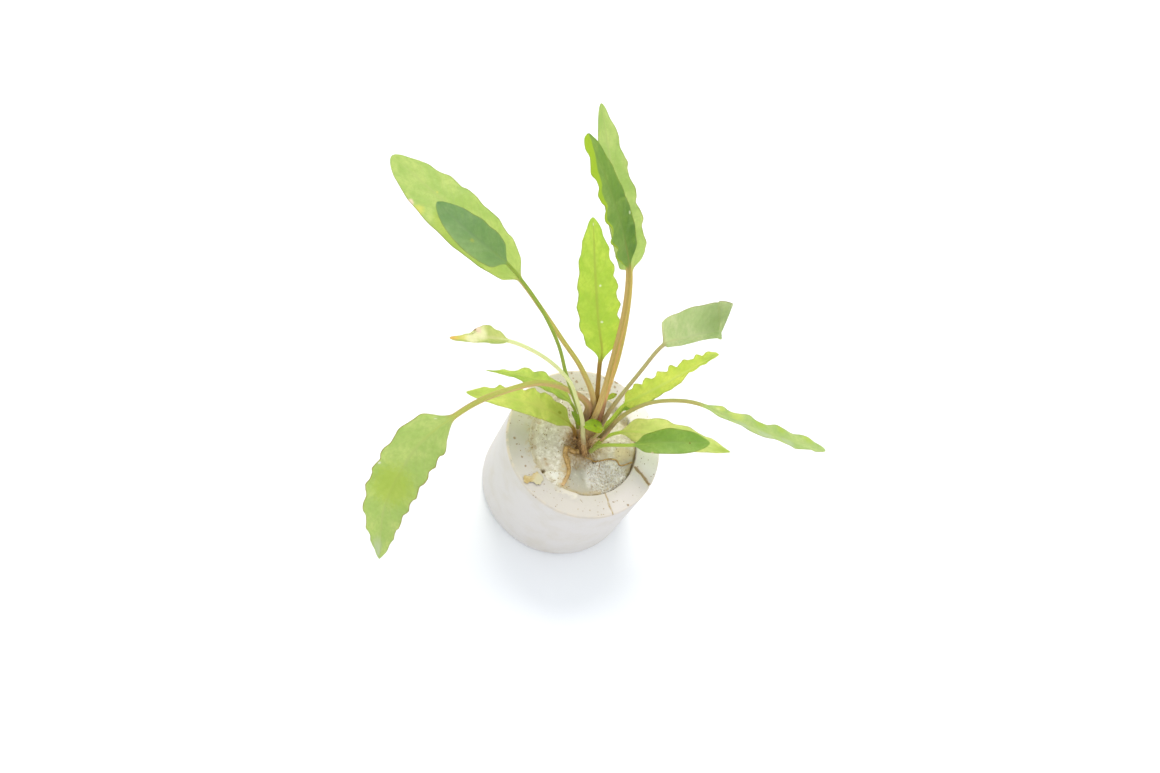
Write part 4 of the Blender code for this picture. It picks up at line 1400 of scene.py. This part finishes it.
# %% [markdown]
# ## Leaf finish
# A leaf is seen by two lights: what its skin throws back, and what comes through it. Here
# the second is the stronger, because the floor below is so bright. A Translucent shader
# carries the colour that comes through, and a Principled shader the skin, which is cooler:
# its bluish tint is partly a painted reflection of the sky.
# The two walls of a blade filter the light one after the other, so a colour given for a
# single blade has to be turned into the filter's colour by a square root. Where two
# blades overlap, the light is filtered twice and turns dark. The front one of the two tall
# leaves at the back is painted deep green all over as painted shade for its overlap with the
# leaf behind it, and its free edge is painted lighter as painted light.

# %% From a seen colour to a filter
THROUGH = 0.78
FLOOR_GLOW = 1.42
# Skin colour, tinted bluish as a painted reflection of the sky.
SKIN_AND_SHEEN = (0.05, 0.17, 0.185)
SKIN_SHARE = 0.55
SKY_AND_LAMP = 1.45


def linear(seen):
    """The light of a colour given as it looks on a screen, from 0 to 255."""
    shares = [v / 255.0 for v in seen]
    return [v / 12.92 if v < 0.04045 else ((v + 0.055) / 1.055) ** 2.4 for v in shares]


def blade_filter(seen, through=THROUGH):
    """The Translucent colour that makes a single blade over the floor look like this."""
    from_skin = [c * (1.0 - through) * SKY_AND_LAMP for c in SKIN_AND_SHEEN]
    passed = [max(c - s, 0.004) / FLOOR_GLOW for c, s in zip(linear(seen), from_skin)]
    return tuple(min(math.sqrt(c) / through, 1.0) for c in passed)


def stalk_colour(seen):
    """The colour of a round stalk that looks like this, for both of its shaders."""
    return tuple(min(1.12 * c ** 0.7, 0.95) for c in linear(seen))


def toned(colour, *shares):
    """A colour times one share, or times a share for each of its three values."""
    return tuple(c * k for c, k in zip(colour, shares * 3 if len(shares) == 1 else shares))


# %% Colours of marks and stalks, as seen
# Some marks stand for light and shade: the sheen colour is a painted reflection of the sky, the light
# green one is painted light, and the fresh green paints the shade on the drooping right leaf.
MARKS = {"white": (255, 255, 240), "yellow": (232, 226, 120), "pink": (252, 224, 196),
         "cream": (250, 244, 196), "brown": (120, 84, 40), "orange": (238, 186, 110),
         "dark": (120, 136, 56), "light": (226, 238, 130), "sheen": (196, 212, 178),
         "fresh": (190, 216, 104), "olive": (180, 205, 96)}
FAINT_MARKS = ("light", "dark", "yellow", "sheen", "fresh", "olive")
FAINT_SHARE = 0.6
CLEAR_SHARE = 0.95
MARGIN_SHARE = 0.35
MARGIN_SEEN = (170, 150, 84)
MARGIN_SKIN = (0.3, 0.22, 0.1)
STALKS = {  # foot, top and edge
    "tan": ((224, 202, 154), (190, 186, 100), (190, 164, 118)),
    "brown": ((222, 204, 144), (184, 166, 92), (204, 176, 120)),
    "dark": ((156, 124, 70), (160, 136, 68), (168, 132, 80)),
    "green": ((146, 142, 74), (158, 178, 80), (150, 160, 76)),
    "leafy": ((176, 188, 104), (186, 210, 98), (192, 198, 110)),
    "pink": ((176, 148, 106), (184, 194, 100), (206, 166, 134)),
    "rosy": ((234, 188, 150), (200, 186, 106), (214, 170, 122)),
    "olive": ((176, 160, 104), (172, 178, 104), (186, 168, 110)),
    "pale": ((208, 196, 152), (208, 218, 162), (218, 212, 166)),
    "grey": ((166, 142, 100), (186, 182, 128), (184, 162, 120)),
}


# %% Patterns on a leaf
def stalk_layer(finish, leaf, x, s, start):
    foot, top, edge = map(stalk_colour, STALKS[leaf["stalk"]])
    finish.painted = foot
    finish.layer(top, step(s, start * 0.05, start * 0.45))
    finish.layer(edge, step(absolute(x), 0.3, 0.8) * 0.85)
    streak = noise(join(finish.tree, x * 2.5, s * 3.0, 0.0), 2.0, 3.0)
    finish.layer(toned(foot, 0.6), step(streak, 0.54, 0.78) * 0.3)
    return finish.painted


def leaf_marks(finish, leaf, x, t, blade, ragged, tint):
    """Spots, patches and scars, each at its place across and along the blade."""
    for across, along, reach, mark in leaf.get("marks", ()):
        away = join(finish.tree, (x - across) * leaf["half_width"], (t - along) * blade, 0.0)
        spot = away.length() + (ragged - 0.5) * reach * 0.9
        share = FAINT_SHARE if mark in FAINT_MARKS else CLEAR_SHARE
        finish.layer(tint(MARKS[mark]), peak(spot, reach * 0.4, reach * 1.25) * share)


def leaf_fringe(finish, leaf, x, t, tint):
    """The free edge of a blade that lies on another one: painted light, where no blade lies behind
    it.
    """
    if "fringe" in leaf:
        at_base, at_tip, seen = leaf["fringe"]
        border = mix(at_base, at_tip, t ** 4.0)
        finish.layer(tint(seen), step(x * -1.0, border, border + 0.07))


def leaf_veins(leaf):
    return max(4.0, leaf["half_width"] * 1.5)


def leaf_finish(name, leaf, length, start):
    through, sheen = leaf.get("through", THROUGH), leaf.get("skin", SKIN_AND_SHEEN)
    finish = Finish(name, sheen, roughness=0.38, specular=0.5)
    x, t, s = finish.attribute("leaf").parts()
    width, blade = leaf["half_width"], length * (1.0 - start)
    place = join(finish.tree, x * width, t * blade, float(len(name)))
    edge = absolute(x)
    clouds = step(noise(place, 0.15, 3.0, 0.6), 0.34, 0.66)
    mottle = step(noise(place, 0.75, 5.0, 0.65), 0.36, 0.68)
    ragged = noise(place, 1.2, 2.0)
    phase = (t - edge * VEIN_SLANT) * leaf_veins(leaf) + (noise(place, 0.25) - 0.5) * 0.5
    crest = absolute(fraction(phase) - 0.5) * 2.0
    vein = step(crest, 0.78, 1.0) * step(edge, 0.02, 0.1)
    net, _ = cells(place, 1.35, "DISTANCE_TO_EDGE")
    net = peak(net, 0.0, 0.16)
    middle = peak(edge * width, 0.2, 0.75)
    margin = step((1.0 - edge) * width, 0.06, 0.42)
    near_stalk = middle * peak(t, 0.04, 0.32)
    on_blade = step(t, 0.0, 0.06)
    stalk = stalk_layer(finish, leaf, x, s, start)

    def passed(seen):
        return blade_filter(seen, through)

    def thrown_back(seen):
        return toned(linear(seen), SKIN_SHARE)

    def blade_layers(tint, base, rib, line, weak):
        """All layers of one shader; the flecks and veins are weaker in the skin."""
        finish.painted = base
        finish.layer(toned(base, 0.82, 0.9, 0.78), clouds * 0.85)
        finish.layer(toned(base, 0.74, 0.83, 0.66), mottle * 0.6 * weak)
        finish.layer(toned(base, 0.82), net * 0.26 * weak)
        finish.layer(toned(base, 0.82), vein * 0.34 * weak)
        finish.layer(rib, middle * 0.75)
        finish.layer(stalk, near_stalk * 0.5)
        leaf_fringe(finish, leaf, x, t, tint)
        leaf_marks(finish, leaf, x, t, blade, ragged, tint)
        finish.layer(line, (1.0 - margin) * leaf.get("margin", MARGIN_SHARE))
        finish.painted = finish.paint(finish.painted, stalk, on_blade)
        return finish.painted

    rib = leaf.get("rib", toned(leaf["seen"], 0.9))
    colour = blade_layers(passed, passed(leaf["seen"]), passed(rib), passed(MARGIN_SEEN), 1.0)
    blade_layers(thrown_back, sheen, toned(sheen, 1.15), MARGIN_SKIN, 0.6)
    finish.bump(net * -0.5 + vein * -0.3 + noise(place, 1.6, 4.0, 0.6), 0.05, 0.7)
    glow = first(add_node(finish.tree, "ShaderNodeBsdfTranslucent", {"Color": colour}))
    sides = {0: through, 1: first(finish.shader), 2: glow}
    blend = add_node(finish.tree, "ShaderNodeMixShader", sides)
    plug(first(blend), finish.output.inputs["Surface"])
    return finish.done()


print("a bright blade's filter:", [round(c, 2) for c in blade_filter((196, 218, 92))])

# %% [markdown]
# ## Each leaf's own form
# The table below holds what makes each leaf itself: the places its midrib passes, which of
# them is the blade's base, how wide, folded, tilted and ruffled the blade is, how much
# fuller one shoulder of its base is than the other, and the marks that it carries. A mark
# is given by its place across and along the blade, its reach in millimetres and its colour.
# A fringe has a border across the blade at the base, one at the tip, and its colour. The
# seen colour of a low blade may pass 255, because the pot under it gives less light than
# the floor does.

# %% Table of leaves
YOUNG = dict(rows=90, around=41, blade=2, widest=0.45, fold=10, ruffle=0.1, waves=2,
             fullness=0.7, through=0.8)
LEAVES = {
    "leaf_left_long": dict(
        route=((-3.5, 3.9, 44.6), (-4.9, 6.8, 52), (-13.2, 8.5, 62), (-22.9, 7.8, 72),
               (-33.6, 8, 81), (-41.6, 8.2, 87), (-55.3, 9.1, 93), (-71.9, 11.4, 95),
               (-93.4, 17.4, 91)),
        blade=5, petiole=0.72, half_width=9.2, right_share=0.88, fold=4, ruffle=0.22, waves=6,
        scallop=0.025, widest=0.46, fullness=0.65, tip_fullness=0.56, shoulder=0.15, blend=0.1,
        seen=(224, 240, 132), stalk="tan",
        marks=((-0.97, 0.7, 1.2, "pink"), (-0.9, 0.64, 1.8, "yellow"),
               (0.1, 0.66, 0.45, "yellow"))),
    "leaf_left_inner": dict(
        route=((-1.6, -1.3, 44.5), (-4.4, -0.6, 51.5), (-9.6, -0.2, 59), (-16, 1.7, 66),
               (-22.6, 4.3, 74), (-32.3, 5.7, 84), (-41, 6, 91), (-47, 5.8, 95), (-59.5, 5, 99),
               (-73.6, 8.4, 98)),
        blade=7, petiole=0.52, half_width=5.8, fold=6, ruffle=0.15, waves=4, scallop=0.01,
        widest=0.42, fullness=0.6, seen=(190, 215, 132), skin=(0.08, 0.2, 0.28), stalk="green",
        marks=((-0.25, 0.45, 0.7, "yellow"),)),
    "leaf_rear_tall": dict(
        route=((0.6, 4.8, 44.8), (-2.3, 9.2, 52), (-5.9, 16.2, 66), (-11.2, 22.2, 81.9),
               (-16.8, 25.5, 95.9), (-23.9, 27.2, 109), (-34.8, 32.3, 121), (-48.9, 42.9, 133)),
        blade=4, petiole=0.78, half_width=5.2, right_share=1.1, fold=10, ruffle=0.45, waves=6,
        widest=0.36, fullness=0.4, tip_fullness=0.58, shoulder=0.3, blend=0.1, seen=(219, 237, 138),
        stalk="rosy"),
    # Its deep green is painted shade for its overlap with the tall leaf behind it; the fringe is
    # painted light along the free edge.
    "leaf_rear_front": dict(
        route=((-1.2, 2.6, 44.6), (-2.6, 4.8, 56), (-6.9, 10.3, 73), (-12.1, 17.2, 90),
               (-17.6, 21.1, 103.8), (-23.8, 22.9, 114.7), (-34.3, 23.6, 129.8),
               (-46.3, 26.8, 140)),
        blade=4, petiole=0.76, half_width=5.6, right_share=0.72, fold=12, ruffle=-0.45, waves=6.5,
        phase=1.2, chance=0.1, scallop=0.1, widest=0.35, fullness=0.52, tip_fullness=0.38,
        shoulder=-0.1, fringe=(0.88, -0.45, (176, 208, 84)), seen=(166, 196, 92), stalk="brown",
        marks=((0.85, 0.4, 0.5, "white"),)),
    "leaf_centre": dict(
        route=((-1.4, 5.2, 44.6), (-4.6, 9.8, 50), (-9.6, 14.7, 60), (-11.3, 16.6, 64),
               (-17.2, 20.2, 72), (-26.2, 27.7, 83), (-35.3, 38.4, 90)),
        blade=2, petiole=0.7, half_width=6.7, fold=8, ruffle=0.2, waves=7.5, chance=0.05,
        scallop=0.06, widest=0.42, fullness=0.82, tip_fullness=0.62, shoulder=0.35,
        seen=(222, 250, 98), rib=(184, 198, 84), stalk="dark",
        marks=((0.16, 0.31, 0.45, "white"), (0.2, 0.56, 0.4, "white"), (0, 0.955, 0.55, "white"),
               (0, 0.04, 2.4, "dark"))),
    "leaf_right_folded": dict(
        route=((1.6, 1.7, 44.6), (1, 5.7, 53), (1.8, 12, 74), (2.9, 16.1, 88), (6.1, 14.6, 99),
               (9.2, 13.3, 108.5), (11.9, 12.2, 115.5), (13.2, 12.2, 117.2), (13.6, 14, 114.4),
               (13.8, 16.3, 110.6), (13.9, 19.6, 105.2)),
        blade=3, heading=(8.9, 4.6, 0), tip_heading=(9.9, 1.2, 0), petiole=0.6, half_width=8.7,
        right_share=0.24, tilt=(-24, 4), fold=2, ruffle=0.12, waves=4, scallop=0.01, widest=0.6,
        fullness=0.13, tip_fullness=0.1, blend=0.05, seen=(238, 248, 178), stalk="grey",
        marks=((-0.8, 0.9, 8, "sheen"), (-0.3, 0.9, 8, "sheen"))),
    "leaf_right_ruffled": dict(
        route=((1.1, 4.4, 41.5), (2.9, 6.9, 47.5), (3.7, 10.5, 54), (7.7, 15.4, 60), (13.3, 24, 66),
               (19.5, 36.2, 68)),
        blade=2, half_width=3.7, right_share=1.1, tilt=(20, 20), fold=22, ruffle=0.6, waves=8,
        chance=0.1, scallop=0.085, widest=0.3, fullness=0.45, tip_fullness=0.28, shoulder=-0.1,
        blend=0.08, torn_from=0.64, seen=(264, 270, 122), rib=(234, 248, 126), through=0.92,
        stalk="leafy",
        marks=((0, 0.95, 2.4, "fresh"), (0, 0.9, 3, "fresh"))),
    # Painted light and shade on this leaf: the light green marks near its base are light from above,
    # the fresh green marks along the upper margin are the shade on that half, and the sheen marks on
    # the lower half are painted reflections.
    "leaf_right_drooping": dict(
        route=((3.6, 1.9, 42.5), (4.9, 7.3, 52), (9.4, 10.2, 64.3), (15.7, 12.5, 71),
               (21.5, 14, 74), (31, 14.7, 76), (46.3, 19.3, 74), (62.8, 29.9, 66)),
        blade=4, petiole=0.64, half_width=4.5, right_share=1.18, tilt=(38, 34), fold=12,
        ruffle=0.42, waves=4, widest=0.5, fullness=0.46, seen=(232, 250, 152), stalk="olive",
        marks=((-0.4, 0.13, 0.7, "white"), (-0.6, 0.26, 3, "light"), (-0.6, 0.14, 2, "light"),
               (-0.8, 0.44, 2.6, "fresh"), (0.5, 0.3, 2.6, "sheen"), (0.6, 0.45, 2.8, "sheen"),
               (0.5, 0.62, 2.6, "sheen"), (-0.8, 0.62, 2, "fresh"), (-0.7, 0.86, 2.4, "fresh"))),
    "leaf_right_low_pale": dict(
        route=((3.4, 0.3, 38.3), (4.6, 4.2, 40.5), (7.2, 7.2, 42.5), (14.5, 11, 46),
               (27.5, 15.8, 48), (40.6, 22, 45.6)),
        blade=2, petiole=0.55, half_width=5, right_share=0.85, fold=5, ruffle=0.45, waves=4,
        scallop=0.03, widest=0.36, fullness=0.6, tip_fullness=0.78, seen=(276, 294, 168),
        skin=(0.07, 0.21, 0.13), through=0.9, stalk="leafy",
        marks=((0, 0.96, 3.4, "fresh"), (0, 0.92, 4.4, "fresh"), (0, 0.97, 3, "fresh"))),
    "leaf_right_low_dark": dict(
        route=((2.9, -2.1, 38.5), (4.7, 0.6, 41), (12.8, 4.5, 46), (21.5, 9.8, 51), (33, 18.2, 50)),
        blade=2, petiole=0.55, half_width=4.3, fold=8, ruffle=0.15, waves=3, scallop=0.012,
        widest=0.5, fullness=0.65, seen=(198, 228, 114), stalk="leafy",
        marks=((0.1, 0.72, 0.32, "brown"), (0.95, 0.25, 0.5, "pink"))),
    "leaf_left_arching": dict(
        route=((-3.6, 1.5, 44.6), (-5.6, 4.1, 53), (-12.3, 2.6, 57.5), (-21, -3, 62),
               (-27.4, -11.8, 65), (-33, -20, 64), (-36.7, -26.5, 60), (-41, -38.2, 54),
               (-40.5, -52, 37), (-33.3, -61.4, 16)),
        blade=6, petiole=0.88, half_width=7.9, right_share=0.94, fold=6, ruffle=0.32, waves=9,
        chance=0.08, widest=0.4, fullness=0.36, tip_fullness=0.72, shoulder=0.25,
        seen=(224, 240, 138), skin=(0.06, 0.18, 0.21), margin=0.85, stalk="pink",
        marks=((0.6, 0.09, 0.45, "white"), (0.9, 0.42, 0.45, "white"), (0.3, 0.92, 5, "sheen"),
               (0.4, 0.95, 3, "sheen"), (0, 0.5, 8, "olive"))),
    "leaf_left_low": dict(
        route=((-2.9, -0.9, 39), (-5.5, -0.3, 43), (-14.4, -1.3, 46), (-24.6, -5.9, 49),
               (-39, -12.2, 47)),
        blade=1, petiole=0.55, half_width=4.8, tilt=(-8, -8), fold=8, ruffle=0.5, waves=7,
        chance=0.2, scallop=0.07, widest=0.38, fullness=0.75, tip_fullness=0.62,
        seen=(266, 278, 144), skin=(0.06, 0.2, 0.14), through=0.9, stalk="dark",
        marks=((0.1, 0.38, 2.6, "light"), (0, 0.05, 1.6, "dark"), (0, 0.95, 3.6, "fresh"),
               (0.2, 0.14, 4.5, "fresh"), (0.5, 0.26, 2, "fresh"), (0.3, 0.17, 0.7, "dark"))),
    "leaf_left_narrow": dict(
        route=((-3.9, 1.5, 41), (-9.3, 4.1, 47), (-16.8, 4, 50), (-25, 1.4, 52), (-37.8, -4.8, 52)),
        blade=1, half_width=3.2, tilt=(-15, -15), fold=12, ruffle=0.4, waves=5, scallop=0.06,
        widest=0.38, fullness=0.85, tail=0.4, seen=(244, 264, 128), through=0.85, stalk="green",
        marks=((-0.1, 0.42, 0.5, "white"), (0, 0.93, 3, "olive"))),
    "leaf_yellowing": dict(
        route=((2.1, -3.5, 38.5), (-1.7, -2.5, 47), (-4.4, -1.9, 54), (-9.3, -1.7, 63),
               (-14, -1.6, 70), (-21.4, -2.8, 76), (-28.3, -4.5, 79), (-35, -7.7, 82),
               (-41.3, -12.3, 84), (-49.4, -18.4, 84)),
        blade=7, petiole=0.6, half_width=2.6, right_share=1.5, tilt=(-16, -16), fold=12, ruffle=0.3,
        waves=3, widest=0.45, fullness=0.6, tip_fullness=0.45, torn_from=0.66, seen=(236, 241, 146),
        rib=(232, 230, 160), skin=(0.13, 0.19, 0.16), margin=0.08, stalk="pale",
        marks=((0.97, 0.57, 0.6, "brown"), (0, 0.95, 2.2, "orange"), (0.3, 0.5, 2.2, "cream"),
               (0, 0.7, 2.2, "cream"), (0.7, 0.52, 1, "pink"), (0, 0.82, 2.4, "yellow"),
               (-0.3, 0.64, 2.2, "cream"))),
    # The dark marks in its middle are painted shade: the real young leaf is rolled into a funnel
    # there.
    "leaf_young_front": YOUNG | dict(
        route=((1.2, -0.7, 43), (1.8, 0.3, 46), (2.2, 1.5, 50), (-1, -0.6, 52.3),
               (-3.4, -2.5, 52.3)),
        half_width=2.3, fold=2, scallop=0.02, fullness=0.6, seen=(250, 255, 90),
        skin=(0.19, 0.42, 0.03), through=0.62, stalk="tan",
        marks=((0, 0.45, 0.55, "dark"), (0, 0.5, 0.4, "dark"))),
    "leaf_young_right": YOUNG | dict(
        route=((2.6, 2.6, 40.3), (3.6, 9.3, 44), (4.2, 12, 47.5), (6.2, 15, 51), (11, 20, 52.3)),
        half_width=1.8, ruffle=0.3, waves=3, seen=(160, 196, 70), stalk="green"),
    "leaf_young_rear": YOUNG | dict(
        route=((-1, 5.3, 42), (-1.4, 10.1, 46), (-1.6, 12.2, 48), (0.2, 15.4, 48.5)),
        half_width=0.9, seen=(214, 232, 70), stalk="leafy",
        marks=((-0.2, 0.95, 0.5, "brown"),)),
    "leaf_young_left": YOUNG | dict(
        route=((-1.7, 0.4, 42), (-3.9, 0.6, 46), (-6.5, 0.3, 49), (-8.8, 0.5, 50.5)),
        blade=1, half_width=1.3, seen=(186, 216, 84), stalk="green"),
}
print("leaves in the table:", len(LEAVES))

# %% [markdown]
# The blade's heading, from its base to its tip, says which way is across, and a twisted
# blade has a second heading for its tip. What the table says of a leaf's form goes to the
# tree's input of the same name, and the tree's own value stands for what it doesn't say.


def across_from(heading):
    """The level direction to the right of a heading."""
    length = math.hypot(heading[0], heading[1])
    return float(heading[1] / length), float(-heading[0] / length), 0.0


def grow_leaf(name, leaf, seed):
    samples, lengths, marks = smooth_route(leaf["route"])
    start = float(marks[leaf["blade"]] / lengths[-1])
    heading = leaf.get("heading", samples[-1] - np.array(leaf["route"][leaf["blade"]]))
    base_tilt, tip_tilt = leaf.get("tilt", (0, 0))
    values = {
        "Blade start": start, "Swell power": math.log(0.5) / math.log(leaf["widest"]),
        "Tip fullness": float(leaf["fullness"]), "Base tilt": float(base_tilt),
        "Tip tilt": float(tip_tilt), "Across": across_from(heading),
        "Tip across": across_from(leaf.get("tip_heading", heading)), "Veins": leaf_veins(leaf),
        "Seed": seed, "Material": leaf_finish(name, leaf, float(lengths[-1]), start),
    }
    for key, value in leaf.items():
        label = key.replace("_", " ").capitalize()
        if label in LEAF_SIZES:
            values[label] = type(LEAF_SIZES[label])(value)
    dress(grow(name + "_blade", leaf_nodes, guide_mesh(samples), values), name)


for number, (leaf_name, leaf_form) in enumerate(LEAVES.items()):
    grow_leaf(leaf_name, leaf_form, 3.7 * number)

# %% Sheaths at the feet of the stalks
def make_sheaths():
    """One mesh of the sheaths of all stalks but the green ones, which have none."""
    points, faces = [], []
    for leaf in LEAVES.values():
        if leaf["stalk"] not in ("leafy", "green"):
            sheet_points, sheet_faces = thin_sheet(sheath_grid(leaf), SHEATH_THICKNESS)
            faces += [tuple(len(points) + i for i in face) for face in sheet_faces]
            points += list(sheet_points)
    return mesh_object("stalk_sheaths", points, faces, sheath_material)


dress(make_sheaths(), None)
